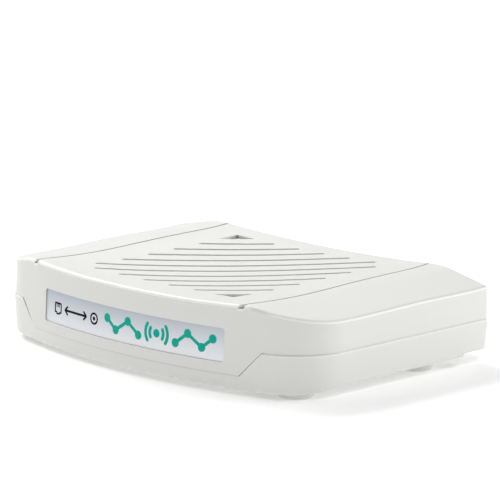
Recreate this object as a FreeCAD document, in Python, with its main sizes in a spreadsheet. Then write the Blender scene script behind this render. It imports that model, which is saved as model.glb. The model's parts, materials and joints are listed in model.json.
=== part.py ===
import FreeCAD, Part
import math
import os
import Sketcher

doc = FreeCAD.newDocument("cable_modem")

# Driving dimensions in millimetres (angles in degrees).
# X runs to the right, Y runs from the front to the back, Z is up, and z = 0 is the table.
DIMENSIONS = {
    # casing, in plan
    "half_width": 80.0,
    "front_y": -57.2,
    "back_y": 47.6,
    "bow_radius": 235.0,
    "corner_radius": 22.0,
    "back_corner_radius": 1.5,
    "rim_radius": 1.2,
    "base_rounding": 1.8,
    "lip_thick": 2.0,
    "lip_rounding": 0.9,
    # casing, in height
    "foot_height": 3.5,
    "lip_z": 2.0,
    "flap_z": 6.99,
    "parting_z": 16.24,
    "flap_half_bottom": 53.4,
    "flap_half_top": 62.3,
    "loft_top": 40.0,
    "front_lean": 1.7,
    "side_lean": 0.25,
    "base_taper": 0.85,
    "rim_proud": 0.3,
    "seam_gap": 0.1,
    "seam_chamfer": 0.45,
    "flap_gap": 0.25,
    "wall": 2.2,
    "floor_wall": 2.0,
    "relief_depth": 1.6,
    "relief_length": 12.0,
    # roof: half width of the centre panel, and the ridge on each side of it
    "panel_half": 52.0,
    "ridge_width": 10.0,
    "ridge_radius": 42.0,
    # vents and grooves
    "vent_half": 37.7,
    "vent_y": -0.7,
    "vent_pitch": 8.62,
    "vent_width": 2.0,
    "vent_reach": 51.0,
    "vent_end_slope": 1.068,
    "corner_leg": 9.4,
    "corner_depth": 1.2,
    "groove_width": 0.9,
    "groove_depth": 0.8,
    "groove_front": 53.3,
    "groove_back": 52.0,
    "notch_width": 2.4,
    "notch_inner": 52.0,
    "notch_end": -46.6,
    "notch_depth": 1.5,
    # front label
    "label_width": 92.5,
    "label_height": 11.9,
    "label_x": 0.9,
    "label_z": 17.0,
    "label_recess": 0.75,
    "label_film": 0.3,
    "label_gap": 0.1,
    "label_corner": 1.1,
    # feet
    "foot_radius": 6.3,
    "foot_front_x": 66.6,
    "foot_front_y": -36.6,
    "foot_rear_x": 67.2,
    "foot_rear_y": 22.65,
    "foot_pin": 1.6,
    # case screws and bosses
    "boss_radius": 3.2,
    "boss_front_x": 57.0,
    "boss_front_y": -40.8,
    "boss_rear_x": 73.4,
    "boss_rear_y": 33.0,
    "screw_radius": 1.3,
    "head_radius": 2.5,
    "head_depth": 3.0,
    # wall mount keyholes
    "keyhole_spacing": 80.0,
    "keyhole_y": -5.0,
    "keyhole_radius": 4.2,
    "keyhole_slot": 2.2,
    # rear panel
    "opening_half": 72.5,
    "opening_low": 8.0,
    "opening_high": 25.2,
    "panel_inset": 5.0,
    "panel_thick": 2.0,
    # circuit board
    "board_z": 9.0,
    "board_thick": 1.6,
    "board_half": 69.5,
    "board_front": -34.0,
    "standoff_radius": 3.0,
    # connectors
    "coax_in_x": 36.0,
    "coax_out_x": 54.0,
    "coax_z": 17.6,
    "coax_thread": 4.7625,
    "thread_depth": 0.43,
    "nut_end": 3.0,
    "coax_tip_y": 57.2,
    "lan_first_x": -31.7,
    "lan_pitch": 16.4,
    "lan_width": 15.4,
    "lan_height": 13.0,
    "lan_depth": 17.0,
    "lan_proud": 0.5,
    "socket_width": 11.8,
    "socket_height": 7.0,
    "power_in_x": -57.0,
    "power_in_z": 16.6,
    # buttons
    "power_button_x": -66.2,
    "pair_button_x": -49.6,
    "reset_button_x": -43.8,
    "button_z": 16.6,
    "power_travel": 2.0,
    "pair_travel": 0.8,
    "reset_travel": 0.5,
    "button_clear": 0.25,
}


def make_sheet():
    """Put every driving dimension in a spreadsheet cell with its name as alias."""
    sheet = doc.addObject("Spreadsheet::Sheet", "Dims")
    for row, (name, value) in enumerate(DIMENSIONS.items(), start=1):
        sheet.set(f"A{row}", name)
        sheet.set(f"B{row}", str(value))
        sheet.setAlias(f"B{row}", name)
    doc.recompute()
    return sheet


make_sheet()


def value_of(expression):
    """The number that an expression over the driving dimensions stands for."""
    if not isinstance(expression, str):
        return float(expression)
    text = expression
    for name in sorted(DIMENSIONS, key=len, reverse=True):
        text = text.replace("Dims." + name, repr(DIMENSIONS[name]))
    return FreeCAD.Units.Quantity(text).Value


def bind(target, path, expression):
    """Set one property, by expression where it depends on the driving dimensions."""
    if isinstance(expression, str):
        target.setExpression(path, expression)
        return
    owner = target
    *parents, last = path.split(".")
    for parent in parents:
        owner = getattr(owner, parent)
    setattr(owner, last, expression)


def place(target, x, y, z):
    """Place an object at x, y, z, each a number or an expression."""
    start = FreeCAD.Vector(value_of(x), value_of(y), value_of(z))
    target.Placement = FreeCAD.Placement(start, target.Placement.Rotation)
    for axis, expression in zip("xyz", (x, y, z)):
        if isinstance(expression, str):
            target.setExpression(f"Placement.Base.{axis}", expression)


# ---------------------------------------------------------------- sketches

def new_body(label):
    body = doc.addObject("PartDesign::Body", label)
    body.Label = label
    return body


def sketch_on(body, role, offset=0.0):
    """A sketch on one of the body's origin planes, shifted along the plane's normal."""
    sketch = body.newObject("Sketcher::SketchObject", "sketch")
    plane = next(f for f in body.Origin.OriginFeatures if f.Role == role)
    sketch.AttachmentSupport = [(plane, "")]
    sketch.MapMode = "FlatFace"
    sketch.AttachmentOffset = FreeCAD.Placement(
        FreeCAD.Vector(0, 0, value_of(offset)), FreeCAD.Rotation())
    if isinstance(offset, str):
        sketch.setExpression("AttachmentOffset.Base.z", offset)
    return sketch


def constrain(sketch, kind, *refs, value=None):
    """Add a constraint; a dimension is bound to its expression."""
    if value is None:
        return sketch.addConstraint(Sketcher.Constraint(kind, *refs))
    index = sketch.addConstraint(Sketcher.Constraint(kind, *refs, value_of(value)))
    if isinstance(value, str):
        sketch.setExpression(f"Constraints[{index}]", value)
    return index


def fix_point(sketch, geometry, point, x, y):
    constrain(sketch, "DistanceX", -1, 1, geometry, point, value=x)
    constrain(sketch, "DistanceY", -1, 1, geometry, point, value=y)


def add_polygon(sketch, points):
    """A closed polygon whose corners are numbers or expressions."""
    corners = [FreeCAD.Vector(value_of(x), value_of(y), 0) for x, y in points]
    count = len(corners)
    lines = [sketch.addGeometry(Part.LineSegment(corners[i], corners[(i + 1) % count]))
             for i in range(count)]
    for i, line in enumerate(lines):
        constrain(sketch, "Coincident", line, 2, lines[(i + 1) % count], 1)
        fix_point(sketch, line, 1, *points[i])
    return lines


def add_rectangle(sketch, x, y, width, height):
    """A rectangle centred on x, y. Each value is a number or an expression."""
    def shifted(base, size, sign):
        return f"({base}) {sign} ({size}) / 2"
    left, right = shifted(x, width, "-"), shifted(x, width, "+")
    low, high = shifted(y, height, "-"), shifted(y, height, "+")
    return add_polygon(sketch, [(left, low), (right, low), (right, high), (left, high)])


def add_circle(sketch, x, y, radius):
    centre = FreeCAD.Vector(value_of(x), value_of(y), 0)
    circle = sketch.addGeometry(Part.Circle(centre, FreeCAD.Vector(0, 0, 1), value_of(radius)))
    constrain(sketch, "Radius", circle, value=radius)
    fix_point(sketch, circle, 3, x, y)
    return circle


def add_slot(sketch, start, end, width):
    """A round-ended slot between two centre points."""
    a, b = FreeCAD.Vector(*start, 0), FreeCAD.Vector(*end, 0)
    along = (b - a).normalize()
    side = FreeCAD.Vector(-along.y, along.x, 0) * (width / 2)
    tip = along * (width / 2)
    edges = [Part.LineSegment(a + side, b + side), Part.Arc(b + side, b + tip, b - side),
             Part.LineSegment(b - side, a - side), Part.Arc(a - side, a - tip, a + side)]
    for edge in edges:
        constrain(sketch, "Block", sketch.addGeometry(edge))


def add_feature(body, kind, sketch, **properties):
    """A sketch-based PartDesign feature; string values become expressions."""
    feature = body.newObject("PartDesign::" + kind, kind.lower())
    feature.Profile = sketch
    for name, value in properties.items():
        bind(feature, name, value)
    sketch.Visibility = False
    body.Tip = feature
    return feature


def loft(body, kind, sketches):
    feature = body.newObject("PartDesign::" + kind, kind.lower())
    feature.Profile = sketches[0]
    feature.Sections = sketches[1:]
    for sketch in sketches:
        sketch.Visibility = False
    body.Tip = feature
    return feature


def fillet(body, radius, wanted):
    """Round the edges of the body's tip that the test wanted(edge) picks."""
    doc.recompute()
    base = body.Tip
    names = [f"Edge{i}" for i, edge in enumerate(base.Shape.Edges, start=1) if wanted(edge)]
    feature = body.newObject("PartDesign::Fillet", "fillet")
    feature.Base = (base, names)
    bind(feature, "Radius", radius)
    body.Tip = feature
    return feature


def combine(body, kind, tools):
    """Cut, intersect or join the body with other bodies."""
    feature = body.newObject("PartDesign::Boolean", kind.lower())
    feature.Type = kind
    feature.setObjects(tools)
    body.Tip = feature
    return feature


# ---------------------------------------------------------------- casing shapes

# The back corners keep this radius in the plans that lie far inside the wall.
LEAST_CORNER = 0.3


def shell_outline(body, height, half_width, front, back, inset):
    """The casing in plan: straight sides and back, round front corners and a bowed front."""
    sketch = sketch_on(body, "XY_Plane", height)
    half = f"{half_width} - {inset}"
    corner = f"Dims.corner_radius - {inset}"
    bow = f"Dims.bow_radius - {inset}"
    rear = f"{back} - {inset}"
    nose = f"{front} + {inset}"
    w, c, r = value_of(half), value_of(corner), value_of(bow)
    yb, yf = value_of(rear), value_of(nose)
    bow_centre = yf + r
    corner_x = w - c
    corner_y = bow_centre - math.sqrt((r - c) ** 2 - corner_x ** 2)
    tangent = math.atan2(corner_x, bow_centre - corner_y)
    up = FreeCAD.Vector(0, 0, 1)

    def point(x, y):
        return FreeCAD.Vector(x, y, 0)

    back_radius = f"Dims.back_corner_radius - {inset}"
    if value_of(back_radius) < LEAST_CORNER:
        back_radius = LEAST_CORNER
    b = value_of(back_radius)
    quarter = math.pi / 2
    start = 3 * quarter
    edges = [
        Part.LineSegment(point(w - b, yb), point(b - w, yb)),
        Part.ArcOfCircle(Part.Circle(point(b - w, yb - b), up, b), quarter, math.pi),
        Part.LineSegment(point(-w, yb - b), point(-w, corner_y)),
        Part.ArcOfCircle(Part.Circle(point(-corner_x, corner_y), up, c), math.pi, start - tangent),
        Part.ArcOfCircle(Part.Circle(point(0, bow_centre), up, r), start - tangent, start + tangent),
        Part.ArcOfCircle(Part.Circle(point(corner_x, corner_y), up, c), start + tangent, 2 * math.pi),
        Part.LineSegment(point(w, corner_y), point(w, yb - b)),
        Part.ArcOfCircle(Part.Circle(point(w - b, yb - b), up, b), 0, quarter),
    ]
    back_line, left_back, left, left_arc, front_arc, right_arc, right, right_back = [
        sketch.addGeometry(edge) for edge in edges]
    for first, second in ((left, left_arc), (left_arc, front_arc), (front_arc, right_arc),
                          (right_arc, right)):
        constrain(sketch, "Tangent", first, 2, second, 1)
    constrain(sketch, "Tangent", left_back, 2, left, 1)
    constrain(sketch, "Tangent", left_back, 1, back_line, 2)
    constrain(sketch, "Tangent", right, 2, right_back, 1)
    constrain(sketch, "Tangent", right_back, 2, back_line, 1)
    constrain(sketch, "Horizontal", back_line)
    constrain(sketch, "Vertical", left)
    constrain(sketch, "Vertical", right)
    constrain(sketch, "Equal", left_arc, right_arc)
    constrain(sketch, "Equal", left_back, right_back)
    constrain(sketch, "Radius", right_back, value=back_radius)
    constrain(sketch, "Radius", left_arc, value=corner)
    constrain(sketch, "Radius", front_arc, value=bow)
    constrain(sketch, "PointOnObject", front_arc, 3, -2)
    constrain(sketch, "DistanceY", -1, 1, front_arc, 3, value=f"{nose} + {bow}")
    constrain(sketch, "DistanceX", -1, 1, right, 2, value=half)
    constrain(sketch, "DistanceX", left, 2, -1, 1, value=half)
    constrain(sketch, "DistanceY", -1, 1, back_line, 2, value=rear)
    return sketch


def upper_envelope(body, inset):
    """The upper casing as a solid block: the front leans back a little as it rises."""
    low = shell_outline(body, "(Dims.flap_z + Dims.seam_gap)", "Dims.half_width", "Dims.front_y",
                        "Dims.back_y", inset)
    high = shell_outline(body, "Dims.loft_top", "(Dims.half_width - Dims.side_lean)",
                         "(Dims.front_y + Dims.front_lean)", "(Dims.back_y - Dims.side_lean)", inset)
    return loft(body, "AdditiveLoft", [low, high])


def lower_level(body, height, inset):
    """Plan of the lower casing at one height: it widens steadily from the base to the rim."""
    share = f"(({height} - Dims.foot_height) / (Dims.parting_z - Dims.foot_height))"
    half = f"(Dims.half_width - Dims.base_taper + (Dims.base_taper + Dims.rim_proud) * {share})"
    front = f"(Dims.front_y + 0.3 - 0.25 * {share})"
    back = f"(Dims.back_y - 0.3 + 0.3 * {share})"
    return shell_outline(body, height, half, front, back, inset)


def rounded_levels(body, base, rounding, steps):
    """Plans of the lower casing just above its base, which round its bottom edge in small steps."""
    levels = []
    for step in range(steps):
        angle = math.radians(90 * step / steps)
        rise = rounding * (1 - math.cos(angle))
        shrink = rounding * (1 - math.sin(angle))
        levels.append(lower_level(body, f"({base} + {rise:.4f})", f"{shrink:.4f}"))
    return levels


def lower_envelope(body, inset, rounding=0.0):
    """The lower casing as a solid block: with a rounding, its bottom edge is rounded and its rim
    is chamfered."""
    sections = rounded_levels(body, "Dims.foot_height", rounding, 5) if rounding else []
    sections.append(lower_level(body, f"(Dims.foot_height + {rounding})", inset))
    if rounding:
        sections.append(lower_level(body, "(Dims.parting_z - Dims.seam_chamfer)", inset))
        inset = "Dims.seam_chamfer"
    sections.append(lower_level(body, "Dims.parting_z", inset))
    feature = loft(body, "AdditiveLoft", sections)
    feature.Ruled = True
    return feature


# The roof at stations along Y: its height at the middle and at the panel's edges, and how far it
# has dropped from there at the outer end of the ridge and at the side wall.
ROOF_STATIONS = [
    (-60.4, 32.4, 32.15, 0.8, 3.5),
    (-50.4, 30.75, 31.95, 0.8, 3.5),
    (-30.4, 29.4, 30.85, 0.7, 3.4),
    (-2.4, 29.27, 31.0, 0.6, 3.4),
    (25.6, 29.95, 31.55, 0.45, 3.75),
    (53.6, 30.8, 33.4, 0.4, 4.4),
]


def wing_slope(ridge_drop, rim_drop):
    outer = DIMENSIONS["panel_half"] + DIMENSIONS["ridge_width"]
    return (rim_drop - ridge_drop) / (DIMENSIONS["half_width"] - outer)


def roof_section(body, station, lowered, side):
    """Closed profile across the casing whose one side is the roof line at this station."""
    y, middle, edge, ridge_drop, rim_drop = station
    sketch = sketch_on(body, "XZ_Plane", -y)
    drop = value_of(lowered)
    zc, ze = middle - drop, edge - drop
    half = DIMENSIONS["panel_half"]
    outer = half + DIMENSIONS["ridge_width"]
    far = DIMENSIONS["half_width"] + 10
    z_outer = ze - ridge_drop
    z_far = z_outer - wing_slope(ridge_drop, rim_drop) * (far - outer)
    radius = DIMENSIONS["ridge_radius"]
    chord = math.hypot(DIMENSIONS["ridge_width"], ridge_drop)
    bulge = radius - math.sqrt(radius ** 2 - chord ** 2 / 4)

    def at(x, z):
        return FreeCAD.Vector(x, z, 0)

    middle_x = (half + outer) / 2
    middle_z = (ze + z_outer) / 2 + bulge
    edges = [
        Part.LineSegment(at(-far, side), at(-far, z_far)),
        Part.LineSegment(at(-far, z_far), at(-outer, z_outer)),
        Part.Arc(at(-outer, z_outer), at(-middle_x, middle_z), at(-half, ze)),
        Part.Arc(at(-half, ze), at(0, zc), at(half, ze)),
        Part.Arc(at(half, ze), at(middle_x, middle_z), at(outer, z_outer)),
        Part.LineSegment(at(outer, z_outer), at(far, z_far)),
        Part.LineSegment(at(far, z_far), at(far, side)),
        Part.LineSegment(at(far, side), at(-far, side)),
    ]
    for edge_curve in edges:
        constrain(sketch, "Block", sketch.addGeometry(edge_curve))
    return sketch


def cut_roof(body, lowered=0.0, above=True):
    """Remove what lies above the roof surface, or below it, lowered by some amount."""
    side = 70.0 if above else -10.0
    sections = [roof_section(body, station, lowered, side) for station in ROOF_STATIONS]
    return loft(body, "SubtractiveLoft", sections)


def roof_height(x, y):
    """Height of the centre panel at x, y, straight between the stations."""
    for low, high in zip(ROOF_STATIONS, ROOF_STATIONS[1:]):
        if low[0] <= y <= high[0]:
            share = (y - low[0]) / (high[0] - low[0])
            middle, edge = (a + share * (b - a) for a, b in zip(low[1:3], high[1:3]))
            return middle + (edge - middle) * (x / DIMENSIONS["panel_half"]) ** 2
    raise ValueError(f"y = {y} is outside the roof")


def on_roof_rim(edge):
    """True for the edges where the roof meets the walls."""
    box = edge.BoundBox
    if box.ZMin < 26:
        return False
    middle = edge.valueAt((edge.FirstParameter + edge.LastParameter) / 2)
    inner_x = DIMENSIONS["half_width"] - 3
    if abs(middle.x) > inner_x or middle.y > DIMENSIONS["back_y"] - 2:
        return True
    bow = DIMENSIONS["front_y"] + DIMENSIONS["bow_radius"]
    return math.hypot(middle.x, middle.y - bow) > DIMENSIONS["bow_radius"] - 5 and box.YLength < 30 \
        or math.hypot(abs(middle.x) - 58, middle.y + 27) > 18 and middle.y < -27


def make_upper_core():
    """The hollow inside the upper casing."""
    body = new_body("upper_core")
    upper_envelope(body, "Dims.wall")
    cut_roof(body, "Dims.wall")
    return body


def make_groove_tool():
    """Two thin blades beside the centre panel that reach just below the roof."""
    body = new_body("groove_tool")
    sketch = sketch_on(body, "XY_Plane", 20)
    half = "Dims.groove_width / 2"
    front, back = "Dims.front_y", "Dims.back_y + 5"
    for side in ("-", ""):
        x_front, x_back = f"{side}Dims.groove_front", f"{side}Dims.groove_back"
        add_polygon(sketch, [(f"{x_front} - {half}", front), (f"{x_front} + {half}", front),
                             (f"{x_back} + {half}", back), (f"{x_back} - {half}", back)])
    add_feature(body, "Pad", sketch, Length=30)
    cut_roof(body, "Dims.groove_depth", above=False)
    return body


def make_notch_tool():
    """Two wider and deeper blades where the grooves break through the front edge."""
    body = new_body("notch_tool")
    sketch = sketch_on(body, "XY_Plane", 20)
    for side in ("-", ""):
        inner = f"{side}Dims.notch_inner"
        outer = f"{side}(Dims.notch_inner + Dims.notch_width)"
        slant = f"{side}(Dims.notch_inner + Dims.notch_width / 2)"
        add_polygon(sketch, [(inner, "Dims.front_y"), (outer, "Dims.front_y"),
                             (outer, "Dims.notch_end - 1.2"), (slant, "Dims.notch_end"),
                             (inner, "Dims.notch_end - 1.2")])
    add_feature(body, "Pad", sketch, Length=30)
    cut_roof(body, "Dims.notch_depth", above=False)
    return body


def vent_slot_ends(index):
    """Centre points of the two round ends of one diagonal vent slot."""
    pitch = DIMENSIONS["vent_pitch"]
    offset = (index - 4.5) * pitch
    tip = DIMENSIONS["vent_reach"] - DIMENSIONS["vent_end_slope"] * (abs(offset) - pitch / 2)
    reach = (tip - DIMENSIONS["vent_width"] / 2) / math.sqrt(2)
    middle = (-offset / math.sqrt(2), DIMENSIONS["vent_y"] + offset / math.sqrt(2))
    return [(middle[0] + sign * reach, middle[1] + sign * reach) for sign in (-1, 1)]


def cut_vents(body):
    """Ten diagonal slots through the roof, and a shallow triangle in two corners."""
    slots = sketch_on(body, "XY_Plane", 26)
    for index in range(10):
        start, end = vent_slot_ends(index)
        add_slot(slots, start, end, DIMENSIONS["vent_width"])
    add_feature(body, "Pocket", slots, Length=15, Reversed=True)
    half, leg, y = DIMENSIONS["vent_half"], DIMENSIONS["corner_leg"], DIMENSIONS["vent_y"]
    for side in (-1, 1):
        x_corner, y_corner = side * half, y - side * half
        inner = (x_corner - side * leg, y_corner)
        lower = (x_corner, y_corner + side * leg)
        floor = roof_height(x_corner - side * leg / 3, y_corner + side * leg / 3)
        sketch = sketch_on(body, "XY_Plane", floor - DIMENSIONS["corner_depth"])
        add_polygon(sketch, [(x_corner, y_corner), inner, lower])
        add_feature(body, "Pocket", sketch, Length=15, Reversed=True)


def label_window(body, gap):
    """A round-cornered window in front view, swept back through the front face."""
    sketch = sketch_on(body, "XZ_Plane", "-(Dims.front_y) + 5")
    add_rectangle(sketch, "Dims.label_x", "Dims.label_z",
                  f"Dims.label_width - 2 * {gap}", f"Dims.label_height - 2 * {gap}")
    add_feature(body, "Pad", sketch, Length=20, Reversed=True)
    fillet(body, "Dims.label_corner", lambda edge: edge.BoundBox.YLength > 15)


def make_label_recess():
    """The block to cut from the front face so that the label lies a little below it."""
    core = new_body("label_recess_core")
    upper_envelope(core, "Dims.label_recess")
    body = new_body("label_recess_tool")
    label_window(body, "0")
    combine(body, "Cut", [core])
    return body


def make_front_label():
    """A thin film that follows the bowed floor of the recess."""
    outer = new_body("label_outer_face")
    upper_envelope(outer, "(Dims.label_recess - Dims.label_film)")
    inner = new_body("label_inner_face")
    upper_envelope(inner, "Dims.label_recess")
    body = new_body("front_label")
    label_window(body, "Dims.label_gap")
    combine(body, "Cut", [inner])
    combine(body, "Common", [outer])
    return body


def cut_below_parting(body):
    """Leave the front flap of the upper shell, and cut the rest off at the parting line."""
    behind = sketch_on(body, "XY_Plane", 0)
    add_rectangle(behind, 0, 5, 180, 90)
    add_feature(body, "Pocket", behind, Length="Dims.parting_z + Dims.seam_gap", Reversed=True)
    beside = sketch_on(body, "XZ_Plane", 70)
    top = "Dims.parting_z + Dims.seam_gap"
    for side in ("-", ""):
        low_x = f"{side}(Dims.flap_half_bottom - Dims.flap_gap)"
        high_x = f"{side}(Dims.flap_half_top - Dims.flap_gap)"
        add_polygon(beside, [(f"{side}95", "0"), (low_x, "0"), (low_x, "Dims.flap_z + Dims.seam_gap"),
                             (high_x, top), (f"{side}95", top)])
    add_feature(body, "Pocket", beside, Length=80)


def add_posts(body, posts, radius, base, length, reversed_way=False):
    """Round posts, all from one level."""
    sketch = sketch_on(body, "XY_Plane", base)
    for x, y in posts:
        add_circle(sketch, x, y, radius)
    return add_feature(body, "Pad", sketch, Length=length, Reversed=reversed_way)


def cut_holes(body, holes, radius, base, length):
    """Round holes that run up from one level."""
    sketch = sketch_on(body, "XY_Plane", base)
    for x, y in holes:
        add_circle(sketch, x, y, radius)
    return add_feature(body, "Pocket", sketch, Length=length, Reversed=True)


FRONT_BOSSES = [("-Dims.boss_front_x", "Dims.boss_front_y"), ("Dims.boss_front_x", "Dims.boss_front_y")]
REAR_BOSSES = [("-Dims.boss_rear_x", "Dims.boss_rear_y"), ("Dims.boss_rear_x", "Dims.boss_rear_y")]
BOSSES = FRONT_BOSSES + REAR_BOSSES
STANDOFFS = [(-64.0, -27.0), (64.0, -27.0), (-60.0, 14.0), (60.0, 14.0)]
FEET = {
    "foot_front_left": ("-Dims.foot_front_x", "Dims.foot_front_y"),
    "foot_front_right": ("Dims.foot_front_x", "Dims.foot_front_y"),
    "foot_rear_left": ("-Dims.foot_rear_x", "Dims.foot_rear_y"),
    "foot_rear_right": ("Dims.foot_rear_x", "Dims.foot_rear_y"),
}


def cut_rear_opening(body):
    """The wide opening in the back walls that the connector panel fills."""
    sketch = sketch_on(body, "XZ_Plane", "-(Dims.back_y) + 4")
    add_rectangle(sketch, 0, "(Dims.opening_low + Dims.opening_high) / 2",
                  "2 * Dims.opening_half", "Dims.opening_high - Dims.opening_low")
    add_feature(body, "Pocket", sketch, Length=12)


def make_upper_shell():
    body = new_body("upper_shell")
    upper_envelope(body, "0")
    cut_roof(body)
    fillet(body, "Dims.rim_radius", on_roof_rim)
    combine(body, "Cut", [make_upper_core()])
    cut_below_parting(body)
    combine(body, "Cut", [make_groove_tool()])
    combine(body, "Cut", [make_notch_tool()])
    combine(body, "Cut", [make_label_recess()])
    cut_vents(body)
    cut_rear_opening(body)
    add_posts(body, FRONT_BOSSES, "Dims.boss_radius - 0.3", 16.6, 13.8)
    add_posts(body, REAR_BOSSES, "Dims.boss_radius - 0.3", 16.6, 11.6)
    cut_holes(body, BOSSES, 1.0, 16.0, 9.0)
    ribs = sketch_on(body, "XY_Plane", 25.0)
    for x in (-30, 0, 30):
        add_rectangle(ribs, x, "Dims.back_y - Dims.panel_inset - Dims.panel_thick / 2 - 1", 10, 1.5)
    add_feature(body, "Pad", ribs, Length=4.4)
    return body


def make_lower_core():
    """The hollow inside the lower casing, with a raised floor at the back."""
    body = new_body("lower_core")
    lower_envelope(body, "Dims.wall")
    step = sketch_on(body, "XY_Plane", "Dims.foot_height")
    add_rectangle(step, 0, 0, 180, 130)
    add_feature(body, "Pocket", step, Length="Dims.floor_wall", Reversed=True)
    rear = sketch_on(body, "XY_Plane", "Dims.foot_height")
    add_rectangle(rear, 0, "Dims.back_y - Dims.relief_length / 2 - Dims.floor_wall / 2 + 10",
                  180, "Dims.relief_length + Dims.floor_wall + 20")
    add_feature(body, "Pocket", rear, Length="Dims.floor_wall + Dims.relief_depth", Reversed=True)
    return body


def make_front_lip():
    """The lip that hangs below the front of the lower casing and runs out along its sides."""
    body = new_body("front_lip")
    rounding = DIMENSIONS["lip_rounding"]
    sections = rounded_levels(body, "Dims.lip_z", rounding, 4)
    sections.append(lower_level(body, f"(Dims.lip_z + {rounding})", "0"))
    sections.append(lower_level(body, "(Dims.foot_height + Dims.base_rounding)", "0"))
    loft(body, "AdditiveLoft", sections).Ruled = True
    hollow = lower_level(body, "0", "Dims.lip_thick")
    add_feature(body, "Pocket", hollow, Length=8, Reversed=True)
    behind = sketch_on(body, "YZ_Plane", 0)
    add_polygon(behind, [(-46, 0), (-46, "Dims.lip_z - 0.1"), (-36, "Dims.lip_z + 0.9"), (-22, 5.4),
                         (-22, 12), (90, 12), (90, 0)])
    add_feature(body, "Pocket", behind, Length=200, Midplane=True)
    return body


def cut_keyholes(body):
    """Two wall-mount keyholes: a round entry with a narrow slot towards the front."""
    for sign in ("-", ""):
        x = f"{sign}Dims.keyhole_spacing / 2"
        sketch = sketch_on(body, "XY_Plane", 0)
        add_circle(sketch, x, "Dims.keyhole_y", "Dims.keyhole_radius")
        add_feature(body, "Pocket", sketch, Length=8, Reversed=True)
        neck = sketch_on(body, "XY_Plane", 0)
        add_rectangle(neck, x, "Dims.keyhole_y - 5.5", "2 * Dims.keyhole_slot", 8)
        add_feature(body, "Pocket", neck, Length=8, Reversed=True)


def make_lower_shell():
    body = new_body("lower_shell")
    lower_envelope(body, "0", rounding=DIMENSIONS["base_rounding"])
    combine(body, "Fuse", [make_front_lip()])
    relief = sketch_on(body, "XY_Plane", 0)
    add_rectangle(relief, 0, "Dims.back_y - Dims.relief_length / 2 + 5", 180, "Dims.relief_length + 10")
    add_feature(body, "Pocket", relief, Length="Dims.foot_height + Dims.relief_depth", Reversed=True)
    combine(body, "Cut", [make_lower_core()])
    dip = sketch_on(body, "XZ_Plane", "-(Dims.front_y) - 16")
    add_polygon(dip, [("-Dims.flap_half_bottom", "Dims.flap_z"), ("Dims.flap_half_bottom", "Dims.flap_z"),
                      ("Dims.flap_half_top", "Dims.parting_z"), ("Dims.flap_half_top", "30"),
                      ("-Dims.flap_half_top", "30"), ("-Dims.flap_half_top", "Dims.parting_z")])
    add_feature(body, "Pocket", dip, Length=30, Reversed=True)
    cut_rear_opening(body)
    base = "Dims.foot_height + 1"
    add_posts(body, BOSSES, "Dims.boss_radius", base, "Dims.parting_z - Dims.foot_height - 1.2")
    cut_holes(body, BOSSES, "Dims.screw_radius + 0.2", 0, 20)
    cut_holes(body, BOSSES, "Dims.head_radius + 0.3", 0, "Dims.foot_height + Dims.head_depth")
    add_posts(body, STANDOFFS, "Dims.standoff_radius", base, "Dims.board_z - Dims.foot_height - 1")
    cut_holes(body, STANDOFFS, 1.0, 5.0, 6.0)
    cut_holes(body, list(FEET.values()), "Dims.foot_pin + 0.02", 0, 8)
    cut_keyholes(body)
    vents = sketch_on(body, "XY_Plane", 0)
    for index in range(9):
        add_slot(vents, (-32 + 8 * index, -40), (-32 + 8 * index, -18), 2.0)
    add_feature(body, "Pocket", vents, Length=8, Reversed=True)
    sticker = sketch_on(body, "XY_Plane", 0)
    add_rectangle(sticker, 0, 12, 58.6, 28.6)
    add_feature(body, "Pocket", sticker, Length="Dims.foot_height + 0.3", Reversed=True)
    ribs = sketch_on(body, "XY_Plane", "Dims.foot_height + Dims.relief_depth + 1")
    for x in (-66, 0, 66):
        add_rectangle(ribs, x, "Dims.back_y - Dims.panel_inset - Dims.panel_thick / 2 - 1", 8, 1.5)
    add_feature(body, "Pad", ribs, Length=2.7)
    sides = sketch_on(body, "XY_Plane", "Dims.foot_height + 1")
    for x in (-1, 1):
        for y in (-23, 13):
            add_rectangle(sides, f"{x} * (Dims.half_width - Dims.wall - 0.8)", y, 1.2, 5)
    add_feature(body, "Pad", sides, Length=15.5)
    return body


# ---------------------------------------------------------------- plain parts

def box(label, size, corner):
    """A Part::Box with its low corner at the given place."""
    item = doc.addObject("Part::Box", label)
    item.Label = label
    for name, value in zip(("Length", "Width", "Height"), size):
        setattr(item, name, value_of(value))
        bind(item, name, value)
    place(item, *corner)
    return item


def centred_box(label, size, x, y, base):
    """A box centred on x, y that stands on the level base."""
    return box(label, size, (f"({x}) - ({size[0]}) / 2", f"({y}) - ({size[1]}) / 2", base))


def cylinder(label, radius, length, base, axis="z"):
    """A Part::Cylinder that starts at base and runs along an axis."""
    item = doc.addObject("Part::Cylinder", label)
    item.Label = label
    item.Radius = value_of(radius)
    item.Height = value_of(length)
    bind(item, "Radius", radius)
    bind(item, "Height", length)
    turns = {"z": FreeCAD.Rotation(), "y": FreeCAD.Rotation(FreeCAD.Vector(1, 0, 0), -90),
             "x": FreeCAD.Rotation(FreeCAD.Vector(0, 1, 0), 90)}
    item.Placement = FreeCAD.Placement(FreeCAD.Vector(), turns[axis])
    place(item, *base)
    return item


def hexagon(label, across_flats, length, base):
    """A hexagonal prism that starts at base and runs along +Y."""
    item = doc.addObject("Part::Prism", label)
    item.Label = label
    item.Polygon = 6
    item.Circumradius = across_flats / math.sqrt(3)
    item.Height = length
    item.Placement = FreeCAD.Placement(FreeCAD.Vector(), FreeCAD.Rotation(FreeCAD.Vector(1, 0, 0), -90))
    place(item, *base)
    return item


def fuse(label, items):
    item = doc.addObject("Part::MultiFuse", label)
    item.Label = label
    item.Shapes = items
    return item


def cut(label, base, tools):
    tool = tools[0] if len(tools) == 1 else fuse(label + "_tools", tools)
    item = doc.addObject("Part::Cut", label)
    item.Label = label
    item.Base = base
    item.Tool = tool
    return item


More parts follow.
